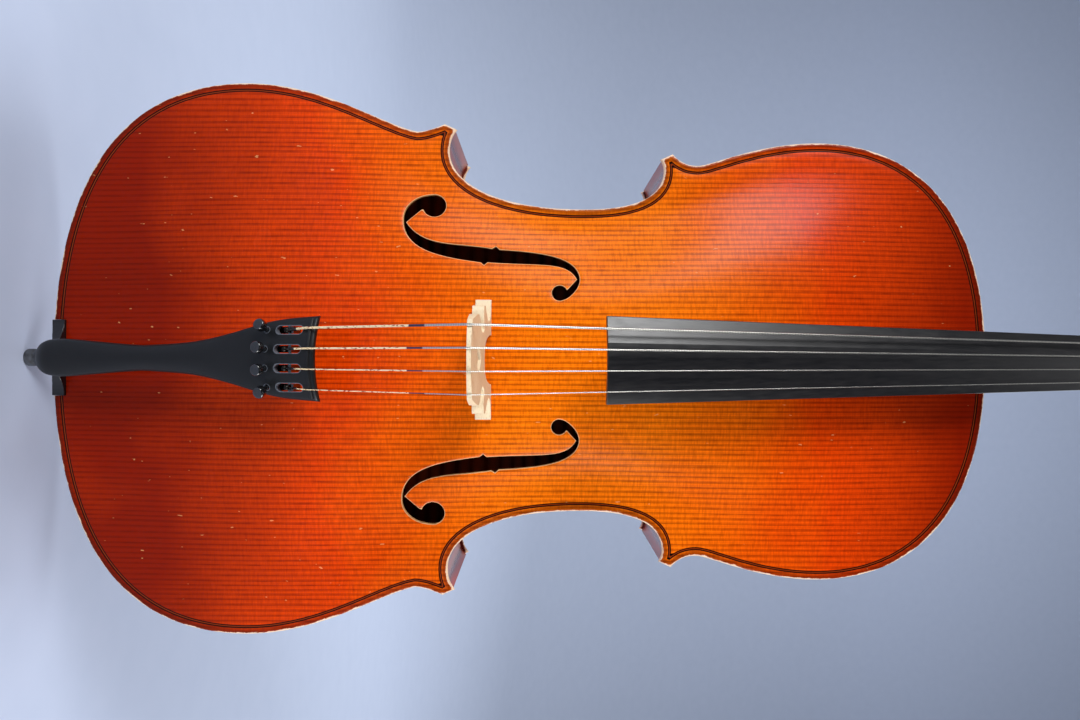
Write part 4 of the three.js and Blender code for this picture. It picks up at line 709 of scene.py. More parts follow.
def bridge_maple():
    """Bare seasoned maple, cut so that its rays show as short brown flecks."""
    made, tree, shader, mm = material("bridge_maple", {"IOR": 1.5})
    rays = add(tree, STRETCH, {"Vector": mm, "Scale": (0.35, 1.4, 1.4)})
    ray = add(tree, NOISE, {"Vector": rays, "Scale": 1.0, "Detail": 2.0})
    fleck = add(tree, RANGE, (ray, 0.58, 0.68, 0.0, 0.4))
    mottle = add(tree, NOISE, {"Vector": mm, "Scale": 0.06, "Detail": 4.0})
    colour = add(tree, MIX, {0: mottle, 6: "#dcc096", 7: "#f1dfbb"}, **COLOURS)
    colour = add(tree, MIX, {0: fleck, 6: colour, 7: "#ab7c48"}, **COLOURS)
    rough = add(tree, RANGE, (mottle, 0.3, 0.7, 0.5, 0.62))
    bump = add(tree, BUMP, {"Height": fleck, "Strength": 0.2, "Distance": 0.0003})
    feed(tree, shader, {"Base Color": colour, "Roughness": rough, "Normal": bump})
    return made


def moulded_rubber():
    """Matt moulded rubber, dark grey with a dusty scuffed skin."""
    made, tree, shader, mm = material("moulded_rubber", {"IOR": 1.52, "Specular IOR Level": 0.4})
    dust = add(tree, NOISE, {"Vector": mm, "Scale": 0.25, "Detail": 5.0, "Roughness": 0.65})
    dusty = add(tree, RANGE, (dust, 0.35, 0.75))
    colour = add(tree, MIX, {0: dusty, 6: "#26282d", 7: "#4a4e57"}, **COLOURS)
    rough = add(tree, RANGE, (dust, 0.3, 0.7, 0.72, 0.88))
    bump = add(tree, BUMP, {"Height": dust, "Strength": 0.25, "Distance": 0.0003})
    feed(tree, shader, {"Base Color": colour, "Roughness": rough, "Normal": bump})
    return made


def plaited_cord():
    """Black synthetic cord: plaited strands 2 mm long with a slight sheen, each strand painted lighter on
    its crest and darker between strands, a painted highlight and shade.
    """
    made, tree, shader, _ = material("plaited_cord", {"Sheen Weight": 0.3, "Roughness": 0.6})
    along = add(tree, ATTRIBUTE, **ALONG)
    phase = add(tree, MATH, (along, 3.1), operation="MULTIPLY")
    plait = add(tree, MATH, (phase,), operation="SINE")
    strand = add(tree, RANGE, (plait, -1.0, 1.0))
    # Lighter on each strand's crest and darker between strands: painted highlight and painted shade.
    colour = add(tree, MIX, {0: strand, 6: "#0e0e10", 7: "#2a2a2e"}, **COLOURS)
    bump = add(tree, BUMP, {"Height": plait, "Strength": 0.5, "Distance": 0.0003})
    feed(tree, shader, {"Base Color": colour, "Normal": bump})
    return made


spruce = varnished_spruce()
hole_wood = bare_wood("hole_edge_spruce", "#d8a870", "#9c5a26", 2.0, 0.6)
inner_spruce = bare_wood("bare_spruce", "#d9b988", "#a67c4a", 1.8, 0.72)
willow = bare_wood("bare_willow", "#cfae80", "#a5804f", 3.0, 0.75)
back_maple = flamed_maple("varnished_back_maple", False, True)
rib_maple = flamed_maple("varnished_rib_maple", True)
head_maple = flamed_maple("varnished_head_maple", False)
neck_maple = oiled_maple()
black_wood = ebony()
composite = moulded_composite()
steel = metal("brushed_steel", "#9a9ca1", "#c6c8cc", 0.26, (2.5, 2.5, 0.08))
black_metal = black_chrome()
string_finish = wound_string()
# The string balls are painted near-black: painted shadow for the shade in the tailpiece's slots.
ball_steel_painted_shadow = metal("string_ball_steel_painted_shadow", "#1b1a19", "#34312d", 0.35, (0.5, 0.5, 0.5))
maple = bridge_maple()
rubber = moulded_rubber()
cord = plaited_cord()

# ---- Arching ----------------------------------------------------------------------------------


def arch_half_width(z):
    """The half-width that the arching follows: the outline without its corners."""
    def rounded(share):
        return (1 - min(1, share) ** 2.3) ** (1 / 2.3)

    def eased(share):
        return (1 - math.cos(math.pi * share)) / 2

    if z <= lower_wide[1]:
        return LOWER * rounded((lower_wide[1] - z) / lower_wide[1])
    if z <= narrow[1]:
        return mix(LOWER, WAIST, eased((z - lower_wide[1]) / (narrow[1] - lower_wide[1])))
    if z <= upper_wide[1]:
        return mix(WAIST, UPPER, eased((z - narrow[1]) / (upper_wide[1] - narrow[1])))
    return UPPER * rounded((z - upper_wide[1]) / (BODY - upper_wide[1]))


def arch_rise(x, z):
    share = min(1, abs(z - BODY / 2) / (BODY / 2 - EDGE_MARGIN))
    across = min(1, abs(x) / max(1, arch_half_width(z) - EDGE_MARGIN))
    return ARCH * math.cos(math.pi / 2 * share**2.6) ** 2 * math.cos(math.pi / 2 * across**1.5) ** 2


RIM_PLACES = [0, 0.5, 1.3, 2.6, 4.0, 5.0, 6.0, 7.1, 9.0, 12.0]
RIM_LEVELS = [-1.7, -0.55, 0.0, 0.15, -0.1, -0.5, -0.65, -0.55, -0.25, 0.0]
UNDER_LEVELS = [1.3, 0.4, 0.0, 0.0, 0.0, 0.0, 0.0, 0.0, 0.0, 0.0]
HOLE_PLACES = [0, 0.5, 1.2, 3.0]
HOLE_LEVELS = [-0.5, -0.12, 0.0, 0.0]


def make_plate(name, edge, holes, outward, finishes, node, rim_line=None):
    bm, edge_layer, hole_layer = sheet(
        finer(edge, 3.2), holes, RIM_PLACES[1:], HOLE_PLACES[1:], 6.0, rim_line)

    def outer(x, z, v):
        shaped = np.interp(v[edge_layer], RIM_PLACES, RIM_LEVELS)
        shaped += np.interp(v[hole_layer], HOLE_PLACES, HOLE_LEVELS)
        return outward * (EDGE_PLANE + arch_rise(x, z) + shaped)

    def inner(x, z, v):
        raised = np.interp(v[edge_layer], RIM_PLACES, UNDER_LEVELS)
        return outward * (EDGE_PLANE + arch_rise(x, z) - PLATE + raised)

    thicken(bm, outer, inner)
    for face in bm.faces:
        if all(v[hole_layer] < 0.05 for v in face.verts):
            face.material_index = 1
    return piece(name, bm, finishes, (node,), sharp=55)


bass_f = finer(sound_hole(), 3.0)
treble_f = mirrored(bass_f)
saddle_half, saddle_depth = 61 / 2 + GAP, 10.5 + GAP
notched = [np.array(p) for p in ((-saddle_half, saddle_depth), (saddle_half, saddle_depth))]
beside_saddle = [p for p in outline if abs(p[0]) > saddle_half + 0.5 or p[1] > 100]
top_edge = [*notched, np.array((saddle_half, 0.6)), *beside_saddle, np.array((-saddle_half, 0.6))]
make_plate("top_arched", top_edge, [bass_f, treble_f], -1, [spruce, hole_wood], "top_plate",
           outline)

button = [np.array((15.0, BODY)), np.array((15.0, BODY + 7)),
          *curve([(15, BODY + 7), (15, BODY + 15), (0, BODY + 15)], 10)]
back_edge = [p for p in right_side if p[1] < BODY / 2 or p[0] > 15.5]
back_edge = back_edge + button + mirrored(back_edge + button[:-1])[:-1]
make_plate("back_arched", back_edge, [], 1, [back_maple], "back_plate")

# ---- Ribs -------------------------------------------------------------------------------------


def make_rib(name, line, node):
    bm = bmesh.new()
    layer = bm.verts.layers.float.new("along")
    reach = np.concatenate(([0], np.cumsum([np.hypot(*(b - a)) for a, b in zip(line, line[1:])])))
    corners = []
    for p, far in zip(line, reach):
        corner = bm.verts.new((p[0], -INNER_FACE + GAP, p[1]))
        corner[layer] = far
        corners.append(corner)
    edges = [bm.edges.new(pair) for pair in zip(corners, corners[1:])]
    made = bmesh.ops.extrude_edge_only(bm, edges=edges)
    raised = [v for v in made["geom"] if isinstance(v, bmesh.types.BMVert)]
    bmesh.ops.translate(bm, verts=raised, vec=(0, 2 * (INNER_FACE - GAP), 0))
    bmesh.ops.recalc_face_normals(bm, faces=bm.faces[:])
    bmesh.ops.solidify(bm, geom=bm.faces[:], thickness=RIB_WALL)
    return piece(name, bm, [rib_maple], (node,), sharp=50)


def at_side(line, side):
    return line if side == "treble" else mirrored(line)


lower_line = inset(lower_run, OVERHANG)
waist_line = inset(waist_run, OVERHANG)
upper_line = inset(upper_run, OVERHANG)
make_rib("rib_lower", mirrored(lower_line)[:-1] + lower_line, "lower_rib")
for side in ("bass", "treble"):
    closed = [lower_line[-1], *waist_line, upper_line[0]]
    make_rib(f"rib_waist_{side}", at_side(closed, side), f"waist_rib_{side}")
    beside_neck = [p for p in upper_line if p[0] > 23]
    make_rib(f"rib_upper_{side}", at_side(beside_neck, side), f"upper_rib_{side}")

# ---- Fingerboard, nut and neck ----------------------------------------------------------------


def board_share(z):
    return (z - BOARD_END) / BOARD_LENGTH


def board_half(z):
    return mix(BOARD_END_WIDTH, NUT_WIDTH, board_share(z)) / 2


def board_top(z):
    return mix(BOARD_RISE_AT_END, BOARD_RISE_AT_NUT, board_share(z))


def glue_rise(z):
    """The flat underside of the fingerboard."""
    at_end = BOARD_RISE_AT_END - crown_drop(BOARD_END_WIDTH / 2)
    at_nut = BOARD_RISE_AT_NUT - crown_drop(NUT_WIDTH / 2)
    return mix(at_end, at_nut, board_share(z)) - BOARD_EDGE


def board_surface(x, z):
    """Crowned, with a flat planed under the lowest string."""
    ridge, edge = mix(FLAT_AT_END, FLAT_AT_NUT, board_share(z)), -board_half(z)
    if x >= ridge:
        return board_top(z) - crown_drop(x)
    return board_top(z) - mix(crown_drop(ridge), crown_drop(edge), (x - ridge) / (edge - ridge))


def board_section(z, hollow):
    half, ridge = board_half(z), mix(FLAT_AT_END, FLAT_AT_NUT, board_share(z))
    across = [*np.linspace(-half, ridge, 6), *np.linspace(ridge, half, 25)[1:]]
    top = [(x, -EDGE_PLANE - board_surface(x, z), z) for x in across]
    under = []
    for x in np.linspace(half, -half, 15):
        scoop = hollow * max(0, 1 - (x / (half - 6)) ** 2) if half > 7 else 0
        under.append((x, -EDGE_PLANE - glue_rise(z) - scoop, z))
    return top + under


board = lofted([board_section(z, hollow) for z, hollow in (
    (BOARD_END, 7.0), (BODY - 60, 6.0), (BODY - 22, 3.0), (BODY - 12, 0.0), (NUT_ALONG - GAP, 0.0))])
piece("fingerboard_crowned", board, [black_wood], ("fingerboard",), sharp=9, rounded=0.6)

nut_across = np.linspace(-NUT_WIDTH / 2, NUT_WIDTH / 2, 17)
NUT_BASE = glue_rise(NUT_ALONG)


def nut_section(z, low):
    top = [(x, -EDGE_PLANE - BOARD_RISE_AT_NUT - NUT_HEIGHT + crown_drop(x) + low, z) for x in nut_across]
    return top + [(side * NUT_WIDTH / 2, -EDGE_PLANE - NUT_BASE, z) for side in (1, -1)]


piece("nut_shaped", lofted([nut_section(NUT_ALONG, 0.0), nut_section(NUT_ALONG + 3, 0.0),
                            nut_section(NUT_ALONG + NUT_LENGTH, 1.2)]),
      [black_wood], ("nut",), rounded=0.4)


def neck_front(z):
    return -EDGE_PLANE - glue_rise(z) + GAP


heel_curve = [np.array((BODY + 100, neck_front(BODY + 100) + 20.6))] + curve(
    [(BODY + 100, neck_front(BODY + 100) + 20.6), (BODY + 45, neck_front(BODY) + 40),
     (BODY + 13, neck_front(BODY) + 55), (BODY + 13, INNER_FACE - GAP)], 24)


def neck_section(z, belly, square):
    """A rounded section: square is 2 for an ellipse and more for a boxier one."""
    half = min(board_half(z), board_half(BODY)) - GAP
    front = neck_front(z)
    points = []
    for angle in np.linspace(0, math.pi, 25):
        across = abs(math.cos(angle)) ** (2 / square) * math.copysign(1, math.cos(angle))
        deep = abs(math.sin(angle)) ** (2 / square)
        narrowing = mix(1.0, 15 / half, min(1, belly * deep / 120) if belly > 40 else 0)
        points.append((across * half * narrowing, front + 2 + (belly - 2) * deep, z))
    return [(half, front, z), *points, (-half, front, z)]


sections = [neck_section(z, INNER_FACE - GAP - neck_front(z), 5.0)
            for z in (BODY - 10, BODY + 6, BODY + 12.9)]
for z, back in reversed([tuple(p) for p in heel_curve[:-1]]):
    deep = back - neck_front(z)
    sections.append(neck_section(z, deep, mix(2.2, 5.0, min(1, max(0, (deep - 24) / 60)))))
sections += [neck_section(z, mix(20.6, 18.5, (z - BODY - 100) / 187), 2.2)
             for z in (940, 1000, 1026, PEGBOX_START + 3)]
piece("neck_and_heel", lofted(sections), [neck_maple], ("neck",), sharp=60)

PEGBOX_FRONT = -EDGE_PLANE - NUT_BASE + GAP
PEGBOX = Matrix.Translation((0, PEGBOX_FRONT, PEGBOX_START)) @ Matrix.Rotation(-PEGBOX_LEAN, 4, "X")
NECK_LEAN = math.atan(glue_rise(0) - glue_rise(1))
SHOULDER_SLOPE = math.tan(PEGBOX_LEAN - NECK_LEAN)


def pegbox_half(place):
    return mix(45, 33, place / PEGBOX_LENGTH) / 2


def pegbox_depth(place):
    return mix(43, 31, place / PEGBOX_LENGTH)


def pegbox_section(place, hollow):
    """Walls 8 mm thick round the cavity, and a back with two flutes beside a ridge. The lower end is cut
    square to the neck's shaft."""
    slope = SHOULDER_SLOPE if place == 0 else 0
    w, d = pegbox_half(place), pegbox_depth(place)
    floor = d - PEGBOX_FLOOR if hollow else 0.01
    flutes = [(w, d - 0.5), (0.75 * w, d - 1.4), (0.45 * w, d - 2), (0.15 * w, d - 0.6), (0, d)]
    back = flutes + [(-x, deep) for x, deep in reversed(flutes[:-1])]
    inner = w - PEGBOX_WALL
    line = [(w, 0), (w, d / 2), *back, (-w, d / 2), (-w, 0),
            (-inner, 0), (-inner, floor), (inner, floor), (inner, 0)]
    return [PEGBOX @ Vector((x, y, place + slope * y)) for x, y in line]


box = lofted([pegbox_section(p, hollow) for p, hollow in (
    (0.0, False), (8.9, False), (9.0, True), (40.0, True),
    (84.0, True), (127.9, True), (128.0, False), (150.0, False))])
piece("pegbox_carved", box, [head_maple], sharp=35, rounded=1.1)


TOP_OF_HEAD = 1.35


def scroll_shell():
    """A volute of two and a quarter turns that narrows in radius and widens as it winds in."""
    sections = []
    last = 2.25 * 2 * math.pi
    for step in range(91):
        angle = mix(-0.55, last, step / 90)
        share = max(0, angle - TOP_OF_HEAD) / (last - TOP_OF_HEAD)
        outer = 32 * (0.2 ** share)
        half = mix(16, 31, share**0.8)
        inner = 0.4 * outer
        flutes = [(half, -0.4), (0.72 * half, -1.5), (0.4 * half, -1.9), (0.12 * half, -0.5), (0, 0)]
        line = [(half, inner), *[(x, outer + drop * outer / 32) for x, drop in flutes],
                *[(-x, outer + drop * outer / 32) for x, drop in reversed(flutes[:-1])], (-half, inner)]
        way = Vector((0, math.cos(angle), math.sin(angle)))
        centre = Vector((0, SCROLL_DEPTH - 1, SCROLL_CENTRE))
        sections.append([PEGBOX @ (centre + way * r + Vector((x, 0, 0))) for x, r in line])
    return lofted(sections)


ACROSS = Matrix.Rotation(math.pi / 2, 4, "Y")
eye_profile = [(0, -31), (4.5, -31), (6.6, -30), (7.2, -28), (7.2, 28), (6.6, 30), (4.5, 31), (0, 31)]
eye = turned(eye_profile, 32, PEGBOX @ Matrix.Translation((0, SCROLL_DEPTH - 1, SCROLL_CENTRE)) @ ACROSS)
piece("scroll_carved", joined(scroll_shell(), eye), [head_maple],
      sharp=38, rounded=0.7)

# ---- Pegs and windings ------------------------------------------------------------------------


def peg_depth(place):
    return (pegbox_depth(place) - PEGBOX_FLOOR) / 2 + 2


def peg_radius(x, place):
    half = pegbox_half(place)
    return mix(6.0, 7.2, (x + half) / (2 * half))


def peg_place(name):
    place = PEG_PLACES[name]
    hand = math.copysign(1, SIDES[name])
    return (PEGBOX @ Matrix.Translation((0, peg_depth(place), place))
            @ Matrix.Rotation(hand * math.pi / 2, 4, "Y"))


for name, place in PEG_PLACES.items():
    half = pegbox_half(place)
    collar, neck_end = half + 3, half + 15
    profile = [(0, -half - 2), (5, -half - 2), (peg_radius(-half, place), -half - 1.2),
               (peg_radius(half, place), half + GAP), (8.6, half + 0.5), (8.9, half + 2.2), (8.4, collar + 1),
               (6.6, collar + 2), (6.1, collar + 4), (5.3, neck_end - 5), (5.4, neck_end), (0, neck_end)]
    shaft = turned(profile, 36)
    head = bmesh.new()
    bmesh.ops.create_uvsphere(head, u_segments=36, v_segments=20, radius=1)
    for v in head.verts:
        pinch = 1 - 0.28 * math.exp(-((v.co.x / 0.28) ** 2)) * (abs(v.co.y) > 0.02)
        neck = mix(0.45, 1.0, min(1, max(0, (v.co.z + 1) / 0.9)) ** 0.7)
        v.co = (v.co.x * 13.5 * neck, v.co.y * 4.5 * pinch, v.co.z * 15 + neck_end + 11)
    bead = bmesh.new()
    bmesh.ops.create_uvsphere(bead, u_segments=16, v_segments=10, radius=2.2,
                              matrix=Matrix.Translation((0, 0, neck_end + 25.4)))
    peg = joined(shaft, head, bead)
    peg.transform(peg_place(name))
    piece(f"peg_turned_{name}", peg, [black_wood], (f"peg_{name}",), f"peg_{name}", sharp=50)

WINDING_TURNS = 5


def winding(name):
    width = WINDING_TURNS * THICKNESS[name] + 1
    middle = 2 + width / 2 + (1.5 if abs(SIDES[name]) > 1 else 0)
    inner = peg_radius(middle + width / 2, PEG_PLACES[name]) + GAP
    return middle, width, inner + THICKNESS[name] / 2, inner + THICKNESS[name]


for name in PEG_PLACES:
    middle, width, radius, _ = winding(name)
    thick = THICKNESS[name]
    turns = np.linspace(0, WINDING_TURNS, 24 * WINDING_TURNS + 1)
    low = middle - width / 2 + thick / 2
    coil = [peg_place(name) @ Vector((radius * math.cos(2 * math.pi * t), radius * math.sin(2 * math.pi * t),
                                      mix(low, low + width - thick, t / WINDING_TURNS))) for t in turns]
    wound = tube(coil, thick / 2, 8)
    layer = wound.verts.layers.float["along"]
    for v in wound.verts:
        v[layer] += 1000
    piece(f"winding_coil_{name}", wound, [string_finish], (f"winding_{name}",), f"peg_{name}")

# ---- Bridge -----------------------------------------------------------------------------------

half = 93 / 2
leg = flowing([(0, BRIDGE_TOP - 55), (9, BRIDGE_TOP - 57), (15, BRIDGE_TOP - 64), (18, BRIDGE_TOP - 75),
               (20, BRIDGE_TOP - 84)], 5)
foot = [np.array((x, arch_rise(x, BRIDGE_ALONG) + GAP)) for x in (19, 26, 33, 40, half)]
flank = flowing([(half, BRIDGE_TOP - 88), (half - 10, BRIDGE_TOP - 84), (half - 16, BRIDGE_TOP - 79),
                 (half - 17, BRIDGE_TOP - 71), (half - 11, BRIDGE_TOP - 63), (half - 7, BRIDGE_TOP - 59),
                 (half - 8, BRIDGE_TOP - 53), (half - 16, BRIDGE_TOP - 52), (half - 24, BRIDGE_TOP - 54),
                 (half - 27, BRIDGE_TOP - 48), (half - 24, BRIDGE_TOP - 40), (half - 17, BRIDGE_TOP - 36),
                 (half - 14.5, BRIDGE_TOP - 30), (half - 16.5, BRIDGE_TOP - 18),
                 (half - 19.5, BRIDGE_TOP - crown_drop(half - 19.5))], 4)
crest = [np.array((x, BRIDGE_TOP - crown_drop(x))) for x in (24, 20, 16, 12, 8, 4, 0)]
right = leg + foot + flank + crest
heart_half = [(0, BRIDGE_TOP - 40), (5, BRIDGE_TOP - 36.5), (8, BRIDGE_TOP - 31.5), (7, BRIDGE_TOP - 26.5),
              (3.5, BRIDGE_TOP - 24.5), (0, BRIDGE_TOP - 27)]
heart = flowing(heart_half, 3)
bridge = filled([right + mirrored(right)[1:-1], heart + mirrored(heart)[1:-1]], 1.0)
cut = dict(dist=1e-5, plane_no=(0, 1, 0), clear_inner=False, clear_outer=False)
bmesh.ops.bisect_plane(bridge, geom=bridge.verts[:] + bridge.edges[:] + bridge.faces[:],
                       plane_co=(0, -EDGE_PLANE - 30, 0), **cut)
for v in bridge.verts:
    rise = -v.co.y - EDGE_PLANE
    back = BRIDGE_ALONG - 6.15 + 1.5 * min(1, max(0, (rise - 25) / 94))
    thick = mix(12.3, 3.0, min(1, max(0, (rise - 30) / 84)))
    v.co.z = back + thick * v.co.z
piece("bridge_carved", bridge, [maple], ("bridge",), rounded=0.5)

# ---- Tailpiece --------------------------------------------------------------------------------

SLOPE = math.asin(50 / TAIL_LENGTH)
NECK_CROWN = 5.5
TIP_START = 225
TAIL = Matrix((
    (1, 0, 0, 0),
    (0, -math.cos(SLOPE), math.sin(SLOPE), -EDGE_PLANE - 80),
    (0, -math.sin(SLOPE), -math.cos(SLOPE), 0.4 + TAIL_LENGTH * math.cos(SLOPE)),
    (0, 0, 0, 1),
))
WIDTHS = np.array(flowing([(0, 30.8), (24, 28.9), (41, 26), (66, 19), (99, 12.5), (133, 10), (152, 10),
                           (195, 13.3), (214, 14.6), (225, 14), (231, 12.4), (235, 10.1), (237.6, 7.2),
                           (TAIL_LENGTH, 4.4)], 5))


def tail_half(place):
    return float(np.interp(place, WIDTHS[:, 0], WIDTHS[:, 1]))


def tail_surface(x, place):
    """Crowned across, and rounded over at its tip."""
    width = tail_half(min(place, TIP_START))
    past = max(0, place - TIP_START) / (TAIL_LENGTH - TIP_START)
    drop = max(crown_drop(width), NECK_CROWN * min(1, place / 90))
    return -drop * min(1, (x / width) ** 2 + past**2)


def tuner_x(name):
    return SIDES[name] * (44 / 3 - 0.9)


def racetrack(x, start, length, width):
    radius = width / 2
    near, far = (x, start + radius), (x, start + length - radius)
    return [*arc(near, radius, 180, 360, 12), *arc(far, radius, 0, 180, 12)]


tail_edge = [np.array((w, p)) for p, w in WIDTHS]
tail_edge = tail_edge + mirrored(tail_edge)
tail_holes = [racetrack(tuner_x(n), 9.7, 21, 6) for n in SIDES]
tail_holes += [arc((tuner_x(n), TUNER_PLACE), 2.1, 0, 345, 23) for n in SIDES]
TAIL_RIM = [0, 0.4, 1.0, 2.2]
tail, tail_layer, _ = sheet(finer(tail_edge, 2.5), tail_holes, TAIL_RIM[1:], [0.3, 0.8], 3.0)
thicken(
    tail,
    lambda x, p, v: tail_surface(x, p) + np.interp(v[tail_layer], TAIL_RIM, [-1.5, -0.7, -0.2, 0]),
    lambda x, p, v: tail_surface(x, p) - 5 + np.interp(v[tail_layer], TAIL_RIM, [1.6, 0.8, 0.3, 0]),
)
ridge_across = np.linspace(-28.6, 28.6, 21)
ridge = lofted([[(x, tail_surface(x, p) + h, p) for x in ridge_across]
                + [(x, tail_surface(x, p) - 1, p) for x in ridge_across[::-1]]
                for p, h in ((2.6, 0.3), (3.2, 1.4), (4.0, 1.6), (4.8, 1.4), (5.4, 0.3))])
ridge_layer = ridge.verts.layers.float.new("from_hole")
for v in ridge.verts:
    v[ridge_layer] = 9
whole_tail = joined(tail, ridge)
whole_tail.transform(TAIL)
piece("tailpiece_moulded", whole_tail, [composite], ("tailpiece",), sharp=50)

for name in SIDES:
    x = tuner_x(name)
    stand = (TAIL @ Matrix.Translation((x, tail_surface(x, TUNER_PLACE), TUNER_PLACE))
             @ Matrix.Rotation(-math.asin(x / CROWN), 4, "Z") @ Matrix.Rotation(-math.pi / 2, 4, "X"))
    profile = [(0, -7.5), (1.3, -7.5), (1.75, -7), (1.75, 6.4), (3.6, 6.5), (4.1, 6.9), (4.2, 7.4),
               (4.2, 11.2), (4.05, 11.9), (3.5, 12.3), (2.2, 12.45), (0, 12.5)]
    piece(f"tuner_knob_{name}", turned(profile, 36, stand), [black_metal], (f"tuner_screw_{name}",),
          f"tuner_screw_{name}", sharp=60)

# ---- Strings ----------------------------------------------------------------------------------

for name, side in SIDES.items():
    thick = THICKNESS[name]
    radius = thick / 2
    clear = radius + GAP
    ball_x = tuner_x(name)
    fret_x, bridge_x, nut_x = side * 44 / 3, side * 47 / 3, side * 22.8 / 3
    ball = TAIL @ Vector((ball_x, tail_surface(ball_x, 22.4) - 0.4, 22.4))
    over = tail_surface(fret_x, 4) + 1.6 + clear + 0.1
    bridge_y = -EDGE_PLANE - (BRIDGE_TOP - crown_drop(bridge_x) + clear)
    bridge_back = BRIDGE_ALONG - 6.15 + 1.3
    nut_y = -EDGE_PLANE - (BOARD_RISE_AT_NUT + NUT_HEIGHT - crown_drop(nut_x) + clear + 0.2)
    middle, _, _, outer = winding(name)
    place = PEG_PLACES[name]
    end = PEGBOX @ Vector((math.copysign(middle, side), peg_depth(place) - outer - clear, place))
    line = [ball, TAIL @ Vector((fret_x, over, 5)), TAIL @ Vector((fret_x, over, 2.6)),
            Vector((bridge_x, bridge_y, bridge_back)), Vector((bridge_x, bridge_y, bridge_back + 3)),
            Vector((nut_x, nut_y, NUT_ALONG)), Vector((nut_x, nut_y, NUT_ALONG + NUT_LENGTH)), end]
    string = tube(line, radius, 12)
    piece(f"string_wound_{name}", string, [string_finish], (f"string_{name}",), sharp=70)
    bead = bmesh.new()
    bmesh.ops.create_uvsphere(bead, u_segments=24, v_segments=14, radius=2.1, matrix=Matrix.Translation(ball))
    piece(f"string_ball_{name}", bead, [ball_steel_painted_shadow])

# ---- Saddle, tailcord and endpin --------------------------------------------------------------

scoop = [tuple(p) for p in curve([(30.5, 2.0), (24.4, 1.0), (13.7, 9.0)], 14)]
saddle_side = [(30.5, -PLATE), (30.5, 2.0), *scoop]
saddle_line = [np.array(p, float) for p in saddle_side]
saddle = filled([saddle_line + mirrored(saddle_line)], 10.5)
bmesh.ops.triangulate(saddle, faces=saddle.faces[:])
for v in saddle.verts:
    rise = -v.co.y - EDGE_PLANE
    beside_cord = min(1, max(0, (abs(v.co.x) - 8) / 5))
    if v.co.z < 1:
        v.co.z += 0.62 * max(0, rise - 0.8) * beside_cord
piece("saddle_scooped", saddle, [black_wood], ("saddle",), rounded=0.9)

CORD = 1.25
cord_clear = CORD + GAP
loop = 10.8 + cord_clear
bend = cord_clear + GAP
cord_out = -EDGE_PLANE - 9
under_tip = TAIL @ Vector((6, tail_surface(6, 222) - 5 - cord_clear, 222))
strand = [
    under_tip,
    Vector((6, cord_out - cord_clear, 10.5)),
    Vector((6, cord_out - cord_clear + GAP, 0.4)),
    Vector((6, cord_out - 0.8 * bend, -0.8 * bend)),
    Vector((6, cord_out, -bend)),
    Vector((mix(6, loop, 0.3), -INNER_FACE + 18, -bend)),
    Vector((mix(6, loop, 0.75), -18, 0.2)),
]
around = [Vector((loop * math.cos(a), loop * math.sin(a), 0.5)) for a in np.linspace(0, math.pi, 19)]
other = [Vector((-p.x, p.y, p.z)) for p in reversed(strand)]
piece("tailcord_plaited", tube([*strand, *around, *other], CORD, 12), [cord], ("tailcord",),
      sharp=70)

plug_profile = [(5.4, -22), (10.2, -22), (11, -21.4), (12.2, -16), (13, -9), (14.2, -8.2), (15, -7),
                (15, -3.2), (14.2, -2.3), (10.8, -1.2), (10.8, 2.4), (12.5, 2.6), (11.5, 36), (5.4, 36),
                (5.4, -22)]
piece("plug_turned", turned(plug_profile, 48), [black_wood], ("endpin_plug",))
ferrule_profile = [(5.4, -33.3), (8.3, -33.3), (9.2, -32.9), (9.5, -32.1), (9.5, -29.8), (9.0, -29.4),
                   (9.0, -26.4), (9.5, -26), (9.5, -22.3), (5.4, -22.3), (5.4, -33.3)]
piece("ferrule_turned", turned(ferrule_profile, 48), [steel], ("endpin_ferrule",))
rod_profile = [(0, -53.7), (4.6, -53.7), (5, -53.2), (5, 435.8), (4.6, 436.3), (0, 436.3)]
piece("rod_drawn", turned(rod_profile, 32), [steel], ("endpin_rod",), "endpin")
tip_profile = [(0, -62), (6.4, -62), (7.2, -61.6), (7.6, -60.8), (7.6, -54), (7.2, -53.4), (7.6, -52.8),
               (7.6, -39.2), (7.3, -38.3), (6.9, -38), (5.35, -38), (5.35, -54), (0, -54)]
piece("tip_moulded", turned(tip_profile, 40), [rubber], ("rubber_tip",), "endpin")
screw_place = Matrix.Translation((0, 0, -27.8)) @ ACROSS
screw_profile = [(0, 5.3), (2.5, 5.3), (2.5, 12.5), (5.6, 12.5), (6.6, 12.9), (7, 13.6), (7, 18.4),
                 (6.6, 19.1), (5.6, 19.5), (0, 19.5)]
screw = turned(screw_profile, 48, screw_place)
knurls = [f for f in screw.faces if abs(f.calc_center_median().x - 16) < 2.5 and f.calc_area() > 1]
bmesh.ops.inset_individual(screw, faces=knurls, thickness=0.12, depth=-0.22)
piece("thumb_screw_knurled", screw, [black_metal], ("endpin_thumb_screw",),
      "endpin_thumb_screw")

# ---- CAD pieces that keep their shape ---------------------------------------------------------

KEPT = {"bass_bar": inner_spruce, "sound_post": inner_spruce, "lever_pin": steel}
for node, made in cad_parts.items():
    finish = KEPT.get(node)
    if node.startswith("tuner_lever"):
        finish = black_metal
    elif "lining" in node or "block" in node:
        finish = willow
    if finish:
        for held in made.material_slots:
            held.link = "OBJECT"
            held.material = finish

# ---- Floor, light and camera ------------------------------------------------------------------


def studio_paper():
    """Pale matt background paper with the slightest tooth."""
    made, tree, shader, mm = material("studio_paper", {"Specular IOR Level": 0.1, "Roughness": 0.9})
    tooth = add(tree, NOISE, {"Vector": mm, "Scale": 0.02, "Detail": 3.0})
    colour = add(tree, MIX, {0: tooth, 6: "#bac6de", 7: "#c1cce3"}, **COLOURS)
    feed(tree, shader, {"Base Color": colour})
    return made


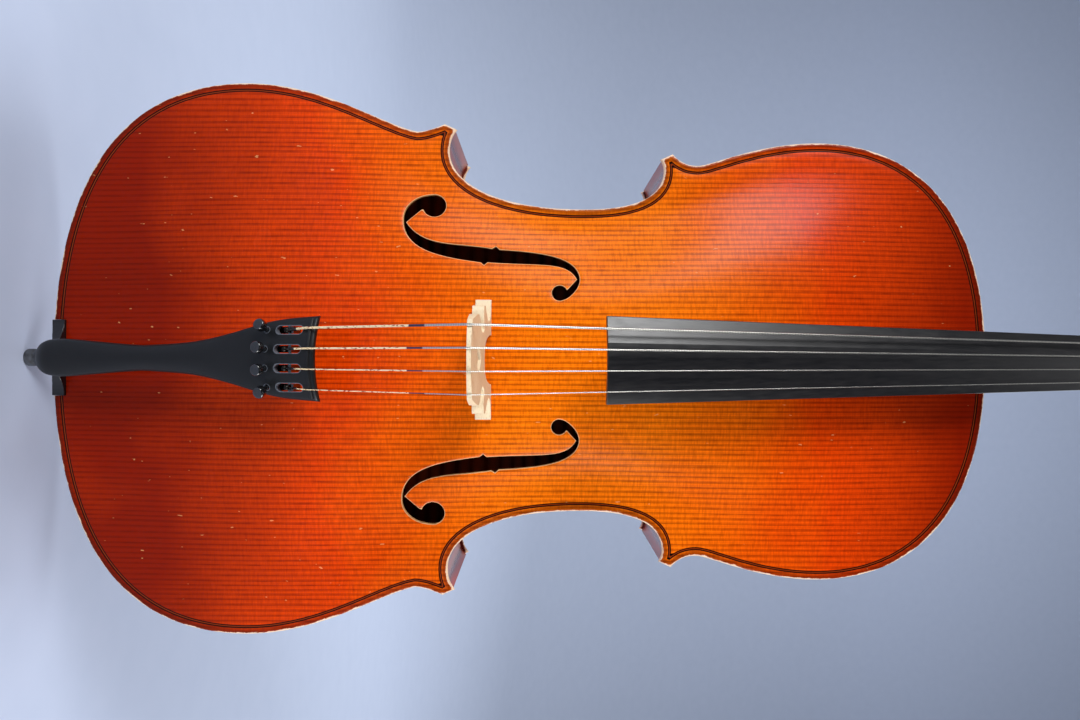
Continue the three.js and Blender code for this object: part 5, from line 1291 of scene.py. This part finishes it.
paper = bmesh.new()
start = [paper.verts.new((-6, -5, 0)), paper.verts.new((6, -5, 0))]
line = paper.edges.new(start)
sweep = [(1.9, 0)] + [(1.9 + 3 * math.sin(a), 3 - 3 * math.cos(a)) for a in np.radians(range(5, 91, 5))]
for y, z in sweep + [(4.9, 7)]:
    made = bmesh.ops.extrude_edge_only(paper, edges=[line])
    line = next(g for g in made["geom"]
                if isinstance(g, bmesh.types.BMEdge) and all(v in made["geom"] for v in g.verts))
    for v in line.verts:
        v.co.y, v.co.z = y, z
paper_mesh = bpy.data.meshes.new("floor")
paper.to_mesh(paper_mesh)
paper.free()
paper_mesh.polygons.foreach_set("use_smooth", [True] * len(paper_mesh.polygons))
paper_mesh.materials.append(studio_paper())
floor = bpy.data.objects.new("floor", paper_mesh)
bpy.context.collection.objects.link(floor)

at_cello, at_backdrop = Vector((0, 0, 0.5)), Vector((0, 4.9, 1.0))
for name, spot, size, power, aim in (
    ("key", (-1.9, -1.85, 1.3), 1.1, 78, at_cello),
    ("fill", (2.5, -1.0, 0.5), 1.3, 78, at_cello),
    ("top", (0.2, -0.5, 3.0), 1.6, 12, at_cello),
    ("behind", (0.9, 1.9, 2.2), 1.8, 28, at_cello),
    ("backdrop", (0, 1.0, 3.6), 1.6, 62, at_backdrop),
):
    lamp = bpy.data.lights.new(name, "AREA")
    lamp.size = size
    lamp.energy = power
    holder = bpy.data.objects.new(name, lamp)
    holder.location = spot
    holder.rotation_euler = (aim - Vector(spot)).to_track_quat("-Z", "Y").to_euler()
    bpy.context.collection.objects.link(holder)

world = bpy.data.worlds.new("studio")
world.use_nodes = True
world.node_tree.nodes["Background"].inputs[0].default_value = linear("#c9d0dc")
world.node_tree.nodes["Background"].inputs[1].default_value = 0.13
bpy.context.scene.world = world
bpy.context.scene.view_settings.view_transform = "Standard"

lens = bpy.data.cameras.new("camera")
lens.sensor_width = 36
lens.lens = 25.8
camera = bpy.data.objects.new("camera", lens)
lying = Matrix(((0, -1, 0, 0), (0, 0, -1, -0.6895), (1, 0, 0, 0.4561), (0, 0, 0, 1)))
camera.matrix_world = lying @ Matrix.Rotation(math.radians(0.3), 4, "Z")
bpy.context.collection.objects.link(camera)
bpy.context.scene.camera = camera
